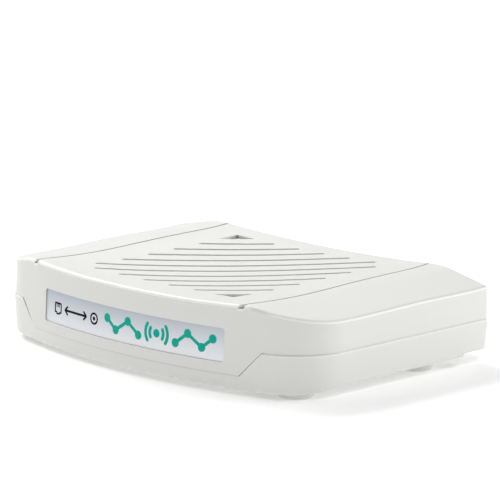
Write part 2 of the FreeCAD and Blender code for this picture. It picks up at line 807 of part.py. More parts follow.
def group(label, items):
    """Separate solids kept in one node."""
    item = doc.addObject("Part::Compound", label)
    item.Label = label
    item.Links = items
    return item


def make_foot(label, x, y):
    pad = cylinder(label + "_pad", "Dims.foot_radius", "Dims.foot_height", (x, y, 0))
    pin = cylinder(label + "_pin", "Dims.foot_pin", "Dims.floor_wall + 0.5", (x, y, "Dims.foot_height - 0.1"))
    body = fuse(label + "_blank", [pad, pin])
    doc.recompute()
    item = doc.addObject("Part::Fillet", label)
    item.Label = label
    item.Base = body
    rim = [i for i, edge in enumerate(body.Shape.Edges, start=1)
           if edge.BoundBox.ZMax < 0.01 and len(edge.Vertexes) == 1]
    item.Edges = [(i, 0.5, 0.5) for i in rim]
    return item


def make_screws(label, places, radius, head_radius, head_height, head_z, length, points_up=True):
    """Screws with a round head and a cross slot; one solid each."""
    screws = []
    for number, (x, y) in enumerate(places, start=1):
        name = f"{label}_{number}"
        head_low = head_z if points_up else f"{head_z} - {head_height}"
        head = cylinder(name + "_head", head_radius, head_height, (x, y, head_low))
        if points_up:
            shank_base = f"{head_z} + {head_height} - 0.1"
        else:
            shank_base = f"{head_z} - {head_height} - {length}"
        shank = cylinder(name + "_shank", radius, f"{length} + 0.1", (x, y, shank_base))
        blank = fuse(name + "_blank", [head, shank])
        slot_base = head_z if points_up else f"{head_z} - 0.8"
        slots = [centred_box(name + "_slot_a", (2.6, 0.5, 0.8), x, y, slot_base),
                 centred_box(name + "_slot_b", (0.5, 2.6, 0.8), x, y, slot_base)]
        screws.append(cut(name, blank, slots))
    return group(label, screws)


def make_casing_parts():
    """Everything of the casing except the two shells."""
    for label, (x, y) in FEET.items():
        make_foot(label, x, y)
    make_screws("case_screws", BOSSES, 1.0, "Dims.head_radius", 1.8,
                "Dims.foot_height + Dims.head_depth - 1.8", 15.0)
    sticker = centred_box("rating_label", (58.0, 28.0, 0.2), 0, 12, "Dims.foot_height + 0.1")
    return sticker


# ---------------------------------------------------------------- rear panel

LAN_X = [DIMENSIONS["lan_first_x"] + i * DIMENSIONS["lan_pitch"] for i in range(4)]
PANEL_FRONT = "Dims.back_y - Dims.panel_inset - Dims.panel_thick / 2"
PANEL_BACK = "Dims.back_y - Dims.panel_inset + Dims.panel_thick / 2"
BOARD_TOP = "Dims.board_z + Dims.board_thick"
LED_PLACES = [(66.0, 14.0), (66.0, 18.0), (66.0, 22.0)]


def make_rear_panel():
    """The plate that closes the back, with a cut-out for each connector and button."""
    body = new_body("rear_panel")
    sketch = sketch_on(body, "XZ_Plane", f"-({PANEL_FRONT})")
    add_rectangle(sketch, 0, "(Dims.opening_low + Dims.opening_high) / 2",
                  "2 * Dims.opening_half + 2.4", "Dims.opening_high - Dims.opening_low + 1.2")
    add_feature(body, "Pad", sketch, Length="Dims.panel_thick", Reversed=True)
    holes = sketch_on(body, "XZ_Plane", 0)
    for x in LAN_X:
        add_rectangle(holes, x, f"{BOARD_TOP} + Dims.lan_height / 2", "Dims.lan_width + 0.8",
                      "Dims.lan_height + 0.8")
    for x in ("Dims.coax_in_x", "Dims.coax_out_x"):
        add_circle(holes, x, "Dims.coax_z", "Dims.coax_thread + 0.15")
    add_circle(holes, "Dims.power_in_x", "Dims.power_in_z", 4.4)
    add_rectangle(holes, "Dims.power_button_x", "Dims.button_z", "6.0 + 2 * Dims.button_clear",
                  "6.0 + 2 * Dims.button_clear")
    add_circle(holes, "Dims.pair_button_x", "Dims.button_z", "2.0 + Dims.button_clear")
    add_circle(holes, "Dims.reset_button_x", "Dims.button_z", "1.0 + Dims.button_clear")
    for x, z in LED_PLACES:
        add_circle(holes, x, z, 1.2)
    add_feature(body, "Pocket", holes, Length=70)
    return body


# ---------------------------------------------------------------- connectors

def make_coax(name, x):
    """One F connector: its body with the threaded barrel, nut, washer, insulator and contact."""
    back = PANEL_BACK
    block = box(f"{name}_block", (11.0, 12.0, "Dims.coax_z - Dims.board_z - Dims.board_thick + 5.4"),
                (f"{x} - 5.5", f"{PANEL_FRONT} - 12.4", BOARD_TOP))
    free_start = f"{back} + Dims.nut_end"
    neck = cylinder(f"{name}_neck", "Dims.coax_thread - Dims.thread_depth",
                    f"({free_start}) - ({PANEL_FRONT}) + 0.6",
                    (x, f"{PANEL_FRONT} - 0.5", "Dims.coax_z"), "y")
    thread = cylinder(f"{name}_thread", "Dims.coax_thread", f"Dims.coax_tip_y - ({free_start})",
                      (x, free_start, "Dims.coax_z"), "y")
    blank = fuse(f"{name}_blank", [block, neck, thread])
    bore = cylinder(f"{name}_bore", 3.4, f"Dims.coax_tip_y - ({PANEL_FRONT}) + 8.0",
                    (x, f"{PANEL_FRONT} - 7.0", "Dims.coax_z"), "y")
    cut(f"{name}_connector", blank, [bore])
    insulator = cylinder(f"{name}_insulator_blank", 3.35, f"Dims.coax_tip_y - ({PANEL_FRONT}) + 6.5",
                         (x, f"{PANEL_FRONT} - 6.9", "Dims.coax_z"), "y")
    hole = cylinder(f"{name}_insulator_hole", 0.9, 60, (x, f"{PANEL_FRONT} - 6.0", "Dims.coax_z"), "y")
    solid = cut(f"{name}_insulator_solid", insulator, [hole])
    sleeve = cylinder(f"{name}_sleeve", 0.85, 14.0, (x, f"{PANEL_FRONT} - 5.9", "Dims.coax_z"), "y")
    socket = cylinder(f"{name}_sleeve_hole", 0.5, 16.0, (x, f"{PANEL_FRONT} - 2.0", "Dims.coax_z"), "y")
    contact = cut(f"{name}_contact_solid", sleeve, [socket])
    washer_blank = cylinder(f"{name}_washer_blank", 6.6, 0.6, (x, back, "Dims.coax_z"), "y")
    washer_hole = cylinder(f"{name}_washer_hole", "Dims.coax_thread + 0.06", 2,
                           (x, f"{back} - 0.5", "Dims.coax_z"), "y")
    washer = cut(f"{name}_washer_solid", washer_blank, [washer_hole])
    nut_blank = hexagon(f"{name}_nut_blank", 11.0, 2.2, (x, f"{back} + 0.65", "Dims.coax_z"))
    nut_hole = cylinder(f"{name}_nut_hole", "Dims.coax_thread - Dims.thread_depth + 0.03", 4,
                        (x, f"{back}", "Dims.coax_z"), "y")
    cut(f"{name}_nut", nut_blank, [nut_hole])
    return solid, contact, washer


def make_coax_pair():
    parts = [make_coax("coax_in", "Dims.coax_in_x"), make_coax("coax_out", "Dims.coax_out_x")]
    for label, members in zip(("coax_insulators", "coax_contacts", "coax_washers"), zip(*parts)):
        group(label, list(members))


def make_lan_jack(number, x):
    """One RJ45 socket: the moulded housing, its metal shield and its eight contacts."""
    y_face = f"{PANEL_BACK} + Dims.lan_proud"
    base = f"{BOARD_TOP}"
    wide, high, deep = "Dims.lan_width - 0.7", "Dims.lan_height - 0.4", "Dims.lan_depth - 0.4"
    y_mid = f"{y_face} - 0.05 - ({deep}) / 2"
    blank = centred_box(f"lan_housing_{number}_blank", (wide, deep, high), x, y_mid, base)
    low = f"{base} + 3.4"
    hollow = [
        centred_box(f"lan_{number}_socket", ("Dims.socket_width", 13.0, "Dims.socket_height"),
                    x, f"{y_face} - 6.4", low),
        centred_box(f"lan_{number}_latch", (6.2, 12.0, 2.4), x, f"{y_face} - 5.9", f"{base} + 1.4"),
        centred_box(f"lan_{number}_latch_tip", (3.4, 12.0, 1.2), x, f"{y_face} - 5.9", f"{base} + 0.5"),
    ]
    cut(f"lan_housing_{number}", blank, hollow)
    shell = centred_box(f"lan_shield_{number}_blank", ("Dims.lan_width", "Dims.lan_depth", "Dims.lan_height"),
                        x, f"{y_face} - Dims.lan_depth / 2", f"{base} + 0.02")
    inside = centred_box(f"lan_shield_{number}_inside",
                         ("Dims.lan_width - 0.6", "Dims.lan_depth", "Dims.lan_height"),
                         x, f"{y_face} - Dims.lan_depth / 2 + 0.3", f"{base} - 0.3")
    cut(f"lan_shield_{number}", shell, [inside])
    contacts = []
    for pin in range(8):
        pin_x = f"{x} + {(pin - 3.5) * 1.02:.2f}"
        wire = box(f"lan_{number}_contact_{pin + 1}", (0.35, 9.0, 0.3),
                   (f"{pin_x} - 0.175", f"{y_face} - 12.3", f"{base} + 8.0"))
        wire.Placement.Rotation = FreeCAD.Rotation(FreeCAD.Vector(1, 0, 0), 12)
        contacts.append(wire)
    return contacts


def make_lan_jacks():
    contacts = []
    for number, x in enumerate(LAN_X, start=1):
        contacts += make_lan_jack(number, x)
    group("lan_contacts", contacts)


def make_dc_jack():
    """Power inlet: a moulded block with a round mouth, and its centre pin."""
    x, z = "Dims.power_in_x", "Dims.power_in_z"
    block = box("dc_jack_block", (9.0, 13.0, f"{z} - ({BOARD_TOP}) + 5.0"),
                (f"{x} - 4.5", f"{PANEL_FRONT} - 13.2", BOARD_TOP))
    nose = cylinder("dc_jack_nose", 4.2, 3.6, (x, f"{PANEL_FRONT} - 0.4", z), "y")
    blank = fuse("dc_jack_blank", [block, nose])
    mouth = cylinder("dc_jack_mouth", 2.9, 14.0, (x, f"{PANEL_FRONT} - 7.5", z), "y")
    cut("dc_jack", blank, [mouth])
    cylinder("dc_jack_pin", 1.05, 9.4, (x, f"{PANEL_FRONT} - 7.4", z), "y")


# ---------------------------------------------------------------- buttons

def make_switch(name, x, size, reach, plunger_radius, rest_depth):
    """A board switch: its moulded block, with a bore for the plunger that faces the back.

    The bore is deeper than the plunger's rest depth by the button's travel.
    """
    wide, deep, _ = size
    y_back = f"{PANEL_FRONT} - {reach}"
    bore_depth = f"{rest_depth} + Dims.{name}_travel"
    block = box(f"{name}_switch_blank", size, (f"{x} - {wide / 2}", f"{y_back} - {deep}", BOARD_TOP))
    bore = cylinder(f"{name}_switch_bore", plunger_radius + 0.08, f"{bore_depth} + 1.0",
                    (x, f"{y_back} - ({bore_depth})", "Dims.button_z"), "y")
    cut(f"{name}_switch", block, [bore])


def make_power_button():
    x, z = "Dims.power_button_x", "Dims.button_z"
    make_switch("power", x, (6.6, 9.0, 9.4), 5.0, 1.5, 4.0)
    cap = box("power_cap", (6.0, 6.4, 6.0), (f"{x} - 3.0", f"{PANEL_BACK} - 3.4", f"{z} - 3.0"))
    doc.recompute()
    item = doc.addObject("Part::Fillet", "power_button")
    item.Label = "power_button"
    item.Base = cap
    item.Edges = [(i, 0.6, 0.6) for i, edge in enumerate(cap.Shape.Edges, start=1)
                  if edge.BoundBox.YMin > value_of(PANEL_BACK) + 2.9]
    cylinder("power_plunger", 1.5, 6.8, (x, f"{PANEL_FRONT} - 8.2", z), "y")


def make_pair_button():
    x, z = "Dims.pair_button_x", "Dims.button_z"
    make_switch("pair", x, (5.6, 4.0, 8.6), 3.2, 1.7, 2.9)
    cap = cylinder("pair_cap", 2.0, 5.4, (x, f"{PANEL_FRONT} - 1.4", z), "y")
    stem = cylinder("pair_stem", 1.1, 1.1, (x, f"{PANEL_FRONT} - 2.4", z), "y")
    fuse("pair_button", [cap, stem])
    cylinder("pair_plunger", 1.7, 3.5, (x, f"{PANEL_FRONT} - 5.9", z), "y")


def make_reset_button():
    x, z = "Dims.reset_button_x", "Dims.button_z"
    make_switch("reset", x, (4.6, 4.0, 8.0), 3.2, 1.0, 3.1)
    cylinder("reset_button", 1.0, 5.4, (x, f"{PANEL_FRONT} - 5.6", z), "y")


# ---------------------------------------------------------------- circuit board

def make_main_board():
    body = new_body("main_board")
    sketch = sketch_on(body, "XY_Plane", "Dims.board_z")
    back = f"({PANEL_FRONT}) - 1.1"
    add_polygon(sketch, [("-Dims.board_half + 6", "Dims.board_front"),
                         ("Dims.board_half - 6", "Dims.board_front"),
                         ("Dims.board_half", "Dims.board_front + 6"), ("Dims.board_half", back),
                         ("-Dims.board_half", back), ("-Dims.board_half", "Dims.board_front + 6")])
    add_feature(body, "Pad", sketch, Length="Dims.board_thick")
    cut_holes(body, STANDOFFS, 1.5, 5.0, 10.0)
    return body


def chip(label, size, x, y, lift=0.05):
    return centred_box(label, size, x, y, f"{BOARD_TOP} + {lift}")


def make_can(label, size, x, y, columns, rows, pitch):
    """A folded metal can over a radio part, open below, with a grid of holes in its lid."""
    wide, deep, high = size
    blank = centred_box(f"{label}_blank", size, x, y, f"{BOARD_TOP} + 0.02")
    hollow = centred_box(f"{label}_hollow", (wide - 0.8, deep - 0.8, high - 0.4), x, y, BOARD_TOP)
    holes = [cylinder(f"{label}_hole_{i}_{j}", 1.0, high,
                      (x + pitch * (i - (columns - 1) / 2), y + pitch * (j - (rows - 1) / 2),
                       f"{BOARD_TOP} + {high - 1.5}"))
             for i in range(columns) for j in range(rows)]
    cut(label, blank, [hollow] + holes)


def make_heatsink():
    """A finned aluminium block that sits on the modem chip."""
    base_z = f"{BOARD_TOP} + 2.2"
    body = new_body("heatsink")
    sketch = sketch_on(body, "XY_Plane", base_z)
    add_rectangle(sketch, -4, -12, 28, 28)
    add_feature(body, "Pad", sketch, Length=9.0)
    gaps = sketch_on(body, "XY_Plane", f"{base_z} + 1.8")
    for index in range(6):
        add_rectangle(gaps, -4 - 14 + 3.2 + 4.32 * index, -12, 2.6, 40)
    add_feature(body, "Pocket", gaps, Length=15, Reversed=True)
    return body


def make_capacitors():
    places = [(-60, 0, 4.0, 10.5), (-50, 0, 4.0, 10.5), (-62, -12, 3.1, 7.5), (24, -24, 2.5, 6.0),
              (-38, 2, 2.5, 6.0), (31, -24, 2.5, 6.0)]
    return group("capacitors", [cylinder(f"capacitor_{i}", r, height, (x, y, f"{BOARD_TOP} + 0.05"))
                                for i, (x, y, r, height) in enumerate(places, start=1)])


def make_board_parts():
    make_main_board()
    make_screws("board_screws", STANDOFFS, 1.0, 2.4, 1.4, f"{BOARD_TOP} + 1.4", 4.6, points_up=False)
    chip("modem_chip", (20.0, 20.0, 1.6), -4, -12)
    chip("thermal_pad", (20.0, 20.0, 0.5), -4, -12, 1.68)
    make_heatsink()
    chip("memory_chip", (8.0, 13.0, 1.1), 20, -9)
    chip("flash_chip", (6.0, 5.0, 1.6), -28, -22)
    chip("wifi_chip", (9.0, 9.0, 0.9), -44, -20)
    make_can("wifi_shield", (20.0, 15.0, 2.6), -44, -20, 3, 2, 5.0)
    chip("switch_chip", (14.0, 14.0, 1.4), -26, 4)
    group("lan_transformers", [chip(f"lan_transformer_{i}", (12.7, 9.5, 5.6), x, 19)
                               for i, x in enumerate(LAN_X, start=1)])
    make_capacitors()
    group("inductors", [chip(f"inductor_{i}", (7.0, 7.0, 4.0), x, y)
                        for i, (x, y) in enumerate([(-50, 12), (-62, 24), (-50, 22)], start=1)])
    group("crystals", [chip(f"crystal_{i}", (11.0, 4.6, 3.6), x, y)
                       for i, (x, y) in enumerate([(-6, 7), (38, -8)], start=1)])
    make_can("tuner_shield", (30.0, 23.0, 5.0), 41, 12, 4, 3, 6.0)


def make_status_leds():
    """Three small round lamps in one holder, which shine through holes in the rear panel."""
    group("status_leds", [cylinder(f"status_led_{i}", 1.0, 7.0, (x, f"{PANEL_BACK} - 6.6", z), "y")
                          for i, (x, z) in enumerate(LED_PLACES, start=1)])
    x, top = LED_PLACES[-1]
    box("led_holder", (3.6, 2.6, f"{top + 2.0} - ({BOARD_TOP})"), (x - 1.8, f"{PANEL_BACK} - 9.2", BOARD_TOP))


# ---------------------------------------------------------------- antennas

def make_antenna(side, name):
    """A printed antenna on the side wall, and the coax pigtail that runs down to the board."""
    x_board = 76.6 * side
    low_corner = x_board - (0.8 if side < 0 else 0)
    box(f"antenna_{name}", (0.8, 27.0, 7.0), (low_corner, -19.0, 17.8))
    body = new_body(f"antenna_cable_{name}")
    path = sketch_on(body, "XZ_Plane", 14)
    bend = 6.0
    start_x, end_x, top, bottom = 76.3 * side, 66.0 * side, 21.3, 13.2
    corner = FreeCAD.Vector(end_x, top, 0)
    run_end = corner + FreeCAD.Vector(bend * side, 0, 0)
    drop_start = corner - FreeCAD.Vector(0, bend, 0)
    middle = corner + FreeCAD.Vector(bend * side, -bend, 0) \
        + FreeCAD.Vector(-side, 1, 0).normalize() * bend
    pieces = [Part.LineSegment(FreeCAD.Vector(start_x, top, 0), run_end),
              Part.Arc(run_end, middle, drop_start),
              Part.LineSegment(drop_start, FreeCAD.Vector(end_x, bottom, 0))]
    for piece in pieces:
        constrain(path, "Block", path.addGeometry(piece))
    ring = sketch_on(body, "YZ_Plane", start_x)
    add_circle(ring, -14.0, top, 0.565)
    pipe = body.newObject("PartDesign::AdditivePipe", "pipe")
    pipe.Profile = ring
    pipe.Spine = path
    body.Tip = pipe
    return cylinder(f"antenna_plug_{name}", 1.3, 2.5, (end_x, -14.0, f"{BOARD_TOP} + 0.05"))


def make_antennas():
    group("antenna_plugs", [make_antenna(-1, "left"), make_antenna(1, "right")])


# ---------------------------------------------------------------- check and write

NODES = (
    ["upper_shell", "lower_shell", "rear_panel", "front_label", "rating_label", "case_screws"]
    + list(FEET)
    + ["main_board", "board_screws", "coax_in_connector", "coax_out_connector", "coax_in_nut",
       "coax_out_nut", "coax_insulators", "coax_contacts", "coax_washers"]
    + [f"lan_housing_{i}" for i in range(1, 5)]
    + [f"lan_shield_{i}" for i in range(1, 5)]
    + ["lan_contacts", "dc_jack", "dc_jack_pin", "power_switch", "power_button", "power_plunger",
       "pair_switch", "pair_button", "pair_plunger", "reset_switch", "reset_button",
       "modem_chip", "thermal_pad", "heatsink", "memory_chip", "flash_chip", "wifi_chip", "wifi_shield",
       "switch_chip", "lan_transformers", "capacitors", "inductors", "crystals", "tuner_shield",
       "status_leds", "led_holder", "antenna_left", "antenna_right", "antenna_cable_left",
       "antenna_cable_right", "antenna_plugs"]
)


def check_document():
    """Stop if any object failed to build or any shape isn't sound."""
    doc.recompute()
    for item in doc.Objects:
        if "Invalid" in item.State or "Error" in item.State:
            raise RuntimeError(f"{item.Label}: {item.State}")
        shape = getattr(item, "Shape", None)
        if item.Label in NODES and (shape is None or shape.isNull() or not shape.isValid()):
            raise RuntimeError(f"{item.Label}: bad shape")


def write_parts():
    os.makedirs("parts", exist_ok=True)
    by_label = {item.Label: item for item in doc.Objects}
    for node in NODES:
        by_label[node].Shape.exportStep(f"parts/{node}.step")


def build():
    make_upper_shell()
    make_lower_shell()
    make_front_label()
    make_casing_parts()
    make_rear_panel()
    make_coax_pair()
    make_lan_jacks()
    make_dc_jack()
    make_power_button()
    make_pair_button()
    make_reset_button()
    make_board_parts()
    make_status_leds()
    make_antennas()
    check_document()
    write_parts()


build()
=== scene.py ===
import json
import math
import random

import bmesh
import bpy
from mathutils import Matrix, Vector
from mathutils.bvhtree import BVHTree


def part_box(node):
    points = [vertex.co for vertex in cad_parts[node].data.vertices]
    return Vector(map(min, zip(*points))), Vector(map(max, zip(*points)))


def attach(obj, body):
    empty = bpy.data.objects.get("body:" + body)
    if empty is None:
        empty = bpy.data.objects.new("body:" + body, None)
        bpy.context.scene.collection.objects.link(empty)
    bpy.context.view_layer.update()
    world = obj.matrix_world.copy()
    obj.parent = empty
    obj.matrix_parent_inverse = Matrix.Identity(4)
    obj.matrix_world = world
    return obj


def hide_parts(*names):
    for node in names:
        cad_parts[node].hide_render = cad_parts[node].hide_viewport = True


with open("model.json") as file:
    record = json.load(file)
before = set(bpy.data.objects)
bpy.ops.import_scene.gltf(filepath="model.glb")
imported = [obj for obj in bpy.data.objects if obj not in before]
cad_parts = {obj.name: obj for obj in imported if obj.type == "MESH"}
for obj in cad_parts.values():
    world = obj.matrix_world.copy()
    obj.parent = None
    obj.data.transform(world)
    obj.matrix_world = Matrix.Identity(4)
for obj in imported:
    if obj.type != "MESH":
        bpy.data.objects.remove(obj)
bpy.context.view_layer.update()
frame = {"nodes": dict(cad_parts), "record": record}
NODES = frame["nodes"]
MM = 0.001


# ---------------------------------------------------------------- camera and light

CAMERA_LENS = 252.0
CAMERA_TARGET = Vector((0.00936, -0.0024, 0.03984))
CAMERA_DISTANCE = 1.25781
CAMERA_AZIMUTH = math.radians(45.56)
CAMERA_ELEVATION = math.radians(11.58)


def direction(azimuth, elevation):
    """Unit vector from the object towards a place at this azimuth and elevation."""
    flat = math.cos(elevation)
    return Vector((math.sin(azimuth) * flat, -math.cos(azimuth) * flat, math.sin(elevation)))


def make_camera():
    data = bpy.data.cameras.new("camera")
    data.sensor_width = 36.0
    data.lens = CAMERA_LENS
    data.clip_end = 20.0
    camera = bpy.data.objects.new("camera", data)
    away = direction(CAMERA_AZIMUTH, CAMERA_ELEVATION)
    camera.location = CAMERA_TARGET + away * CAMERA_DISTANCE
    camera.rotation_euler = away.to_track_quat("Z", "Y").to_euler()
    bpy.context.scene.collection.objects.link(camera)
    bpy.context.scene.camera = camera


# Soft panels round the object: azimuth and elevation in degrees, and power in watts. Azimuth 0 is in
# front and 90 is on the right.
LIGHTS = {
    "front_low": (-20, 12, 1.9),
    "front_right_high": (60, 45, 4.8),
    "left_high": (-60, 45, 4.3),
    "far_left_high": (-100, 45, 14.4),
    "right_high": (100, 45, 1.8),
    "right_rear": (140, 12, 6.0),
    "right_rear_high": (140, 45, 3.2),
    "rear_low": (190, 12, 4.0),
    "rear_left_high": (235, 45, 3.6),
}
LIGHT_DISTANCE = 1.5
LIGHT_SIZE = (0.8, 0.6)
WORLD_LIGHT = 0.067
FLOOR_GLOW = 0.28
FLOOR_REACH = 8.0


def make_light(name, azimuth, elevation, power):
    """A rectangular panel that faces the object."""
    data = bpy.data.lights.new(name, "AREA")
    data.shape = "RECTANGLE"
    data.size, data.size_y = LIGHT_SIZE
    data.energy = power
    light = bpy.data.objects.new(name, data)
    away = direction(math.radians(azimuth), math.radians(elevation))
    light.location = away * LIGHT_DISTANCE
    light.rotation_euler = away.to_track_quat("Z", "Y").to_euler()
    bpy.context.scene.collection.objects.link(light)


def make_world():
    """A faint even light that the camera sees as plain white."""
    world = bpy.data.worlds.new("studio")
    world.use_nodes = True
    tree = world.node_tree
    background = tree.nodes["Background"]
    background.inputs["Color"].default_value = (1.0, 1.0, 1.0, 1.0)
    path = tree.nodes.new("ShaderNodeLightPath")
    seen = tree.nodes.new("ShaderNodeMapRange")
    tree.links.new(path.outputs["Is Camera Ray"], seen.inputs["Value"])
    seen.inputs["To Min"].default_value = WORLD_LIGHT
    seen.inputs["To Max"].default_value = 1.0
    tree.links.new(seen.outputs["Result"], background.inputs["Strength"])
    bpy.context.scene.world = world


def make_floor():
    """A white table, lit a little from within so that its shadows stay soft."""
    mesh = bpy.data.meshes.new("floor")
    reach = FLOOR_REACH
    mesh.from_pydata([(-reach, -reach, 0), (reach, -reach, 0), (reach, reach, 0), (-reach, reach, 0)],
                     [], [(0, 1, 2, 3)])
    floor = bpy.data.objects.new("floor", mesh)
    bpy.context.scene.collection.objects.link(floor)
    material, _, shader = new_material("floor_white")
    shader.inputs["Base Color"].default_value = (0.9, 0.9, 0.9, 1)
    shader.inputs["Roughness"].default_value = 0.9
    shader.inputs["Specular IOR Level"].default_value = 0.1
    shader.inputs["Emission Color"].default_value = (1, 1, 1, 1)
    shader.inputs["Emission Strength"].default_value = FLOOR_GLOW
    floor.data.materials.append(material)


# ---------------------------------------------------------------- materials

# Colours are linear red, green and blue.
CASING_WHITE = (0.80, 0.80, 0.775)
# Painted highlight colour that the casing's outer rims are mixed towards.
CASING_PAINTED_HIGHLIGHT = (0.97, 0.97, 0.96)
# Painted shade colour that the casing's grooves, gaps and flap seam are mixed towards.
CASING_PAINTED_SHADE = (0.40, 0.40, 0.385)
FILM_PALE = (0.95, 0.97, 1.0)
FILM_BLUE = (0.50, 0.545, 0.61)
INK_DARK = (0.003, 0.003, 0.004)
INK_TEAL = (0.0, 0.43, 0.33)
# The moulded grain: patches per metre, and its depth in metres.
GRAIN = 2600.0
GRAIN_DEPTH = 0.00002
# How far the painted shade of the casing's grooves and the painted highlight of its rims reach, in metres,
# and how dark the painted shade on the seam below the flap is.
GROOVE_REACH = 0.0012
SEAM_SHADE = 0.4
# The front of the casing lies before this Y, and its halves meet at this height, in metres.
FRONT_ZONE = -0.048
PARTING = 0.01624


def new_material(name):
    """A node material: returns the material, its tree and its shader."""
    material = bpy.data.materials.new(name)
    material.use_nodes = True
    tree = material.node_tree
    return material, tree, tree.nodes["Principled BSDF"]


def coordinates(tree):
    """Position on the object, which is the position in the frame, in metres."""
    return tree.nodes.new("ShaderNodeTexCoord").outputs["Object"]


def texture(tree, kind, scale):
    """A texture node laid over the object, with so many patches per metre."""
    node = tree.nodes.new(kind)
    tree.links.new(coordinates(tree), node.inputs["Vector"])
    node.inputs["Scale"].default_value = scale
    return node


def noise(tree, scale, detail=2.0, roughness=0.5):
    """Cloudy noise round 0.5."""
    node = texture(tree, "ShaderNodeTexNoise", scale)
    node.inputs["Detail"].default_value = detail
    node.inputs["Roughness"].default_value = roughness
    return node.outputs["Fac"]


def remap(tree, value, low, high, start=0.3, end=0.7):
    """low where the value is at most start, high where it is at least end, and even in between."""
    node = tree.nodes.new("ShaderNodeMapRange")
    tree.links.new(value, node.inputs["Value"])
    node.inputs["From Min"].default_value = start
    node.inputs["From Max"].default_value = end
    node.inputs["To Min"].default_value = low
    node.inputs["To Max"].default_value = high
    return node.outputs["Result"]


def two_tone(tree, value, first, second):
    """The first colour at 0 and the second at 1."""
    node = tree.nodes.new("ShaderNodeMix")
    node.data_type = "RGBA"
    tree.links.new(value, node.inputs["Factor"])
    node.inputs["A"].default_value = (*first, 1)
    node.inputs["B"].default_value = (*second, 1)
    return node.outputs["Result"]


def mix_in(tree, base, colour, amount):
    """A colour socket mixed towards one colour."""
    result = two_tone(tree, amount, colour, colour)
    tree.links.new(base, result.node.inputs["A"])
    return result


def coat(tree, shader, colour, patches, low, high):
    """Set a colour, and a roughness that wanders between two values with so many patches per metre."""
    tree.links.new(colour, shader.inputs["Base Color"])
    tree.links.new(remap(tree, noise(tree, patches), low, high), shader.inputs["Roughness"])


def bump(tree, shader, height, distance):
    """Raise the surface by up to a distance, in metres, where the height is 1."""
    node = tree.nodes.new("ShaderNodeBump")
    tree.links.new(height, node.inputs["Height"])
    node.inputs["Distance"].default_value = distance
    tree.links.new(node.outputs["Normal"], shader.inputs["Normal"])


def moulded_plastic(name, colour, roughness=0.5, grain=GRAIN, depth=GRAIN_DEPTH):
    """Moulded plastic: faint mottling, a spark-eroded grain and uneven gloss."""
    material, tree, shader = new_material(name)
    darker = tuple(c * 0.97 for c in colour)
    mottling = two_tone(tree, noise(tree, 18.0, 3.0), colour, darker)
    coat(tree, shader, mottling, 240.0, roughness - 0.05, roughness + 0.06)
    bump(tree, shader, noise(tree, grain, 3.0, 0.6), depth)
    return material


def printed_ink(name, colour):
    """Matte printing ink, a little uneven in tone and gloss."""
    material = moulded_plastic(name, colour, 0.6, 3000.0, 0.000004)
    shader = material.node_tree.nodes["Principled BSDF"]
    shader.inputs["Specular IOR Level"].default_value = 0.15
    return material


def separate(tree, axis, vector=None):
    """One coordinate of a vector, or else of the position in metres."""
    node = tree.nodes.new("ShaderNodeSeparateXYZ")
    tree.links.new(vector or coordinates(tree), node.inputs["Vector"])
    return node.outputs[axis]


def combine(tree, operation, *values):
    """The result of a maths operation on one or more sockets."""
    node = tree.nodes.new("ShaderNodeMath")
    node.operation = operation
    for socket, value in zip(node.inputs, values):
        tree.links.new(value, socket)
    return node.outputs["Value"]


def rises(tree, value, start, end):
    """A mask that is 0 up to start and 1 from end on."""
    return remap(tree, value, 0, 1, start, end)


def falls(tree, value, start, end):
    """A mask that is 1 up to start and 0 from end on."""
    return remap(tree, value, 1, 0, start, end)


def both(tree, first, second):
    return combine(tree, "MULTIPLY", first, second)


def either(tree, first, second):
    return combine(tree, "MAXIMUM", first, second)


def occlusion(tree, distance, inside):
    """1 on open faces. Lower near outer edges (inside) or in grooves and corners (outside)."""
    node = tree.nodes.new("ShaderNodeAmbientOcclusion")
    node.inside = inside
    node.only_local = True
    node.samples = 12
    node.inputs["Distance"].default_value = distance
    return node.outputs["AO"]


def facing_up(tree):
    """The upward share of the surface's direction: 1 on top, 0 on a wall."""
    return separate(tree, "Z", tree.nodes.new("ShaderNodeNewGeometry").outputs["Normal"])


def painted_rim_highlights(tree):
    """Mask of the painted highlight on the outer rims, along the roof and along the parting line."""
    height = separate(tree, "Z")
    roof = rises(tree, height, 0.0245, 0.0255)
    seam = both(tree, rises(tree, height, PARTING - 0.00164, PARTING - 0.00084),
                falls(tree, height, PARTING + 0.00001, PARTING + 0.00008))
    front = both(tree, falls(tree, separate(tree, "Y"), FRONT_ZONE, FRONT_ZONE + 0.004),
                 falls(tree, separate(tree, "X"), 0.054, 0.058))
    sides = rises(tree, combine(tree, "ABSOLUTE", separate(tree, "X")), 0.062, 0.066)
    place = either(tree, both(tree, roof, either(tree, front, sides)), both(tree, seam, sides))
    # Painted highlight where the casing is thin at its outer edges.
    thin = remap(tree, occlusion(tree, GROOVE_REACH, True), 0, 1, 0.93, 0.6)
    upward = facing_up(tree)
    # Painted highlight on the part of each rounded rim that turns towards the lamps: low on the side rims,
    # high on the front rim.
    side_bend = both(tree, rises(tree, upward, 0.10, 0.20), falls(tree, upward, 0.55, 0.75))
    front_bend = both(tree, rises(tree, upward, 0.45, 0.60), falls(tree, upward, 0.95, 0.985))
    rounded = either(tree, side_bend, both(tree, front_bend, front))
    return both(tree, either(tree, thin, rounded), place)


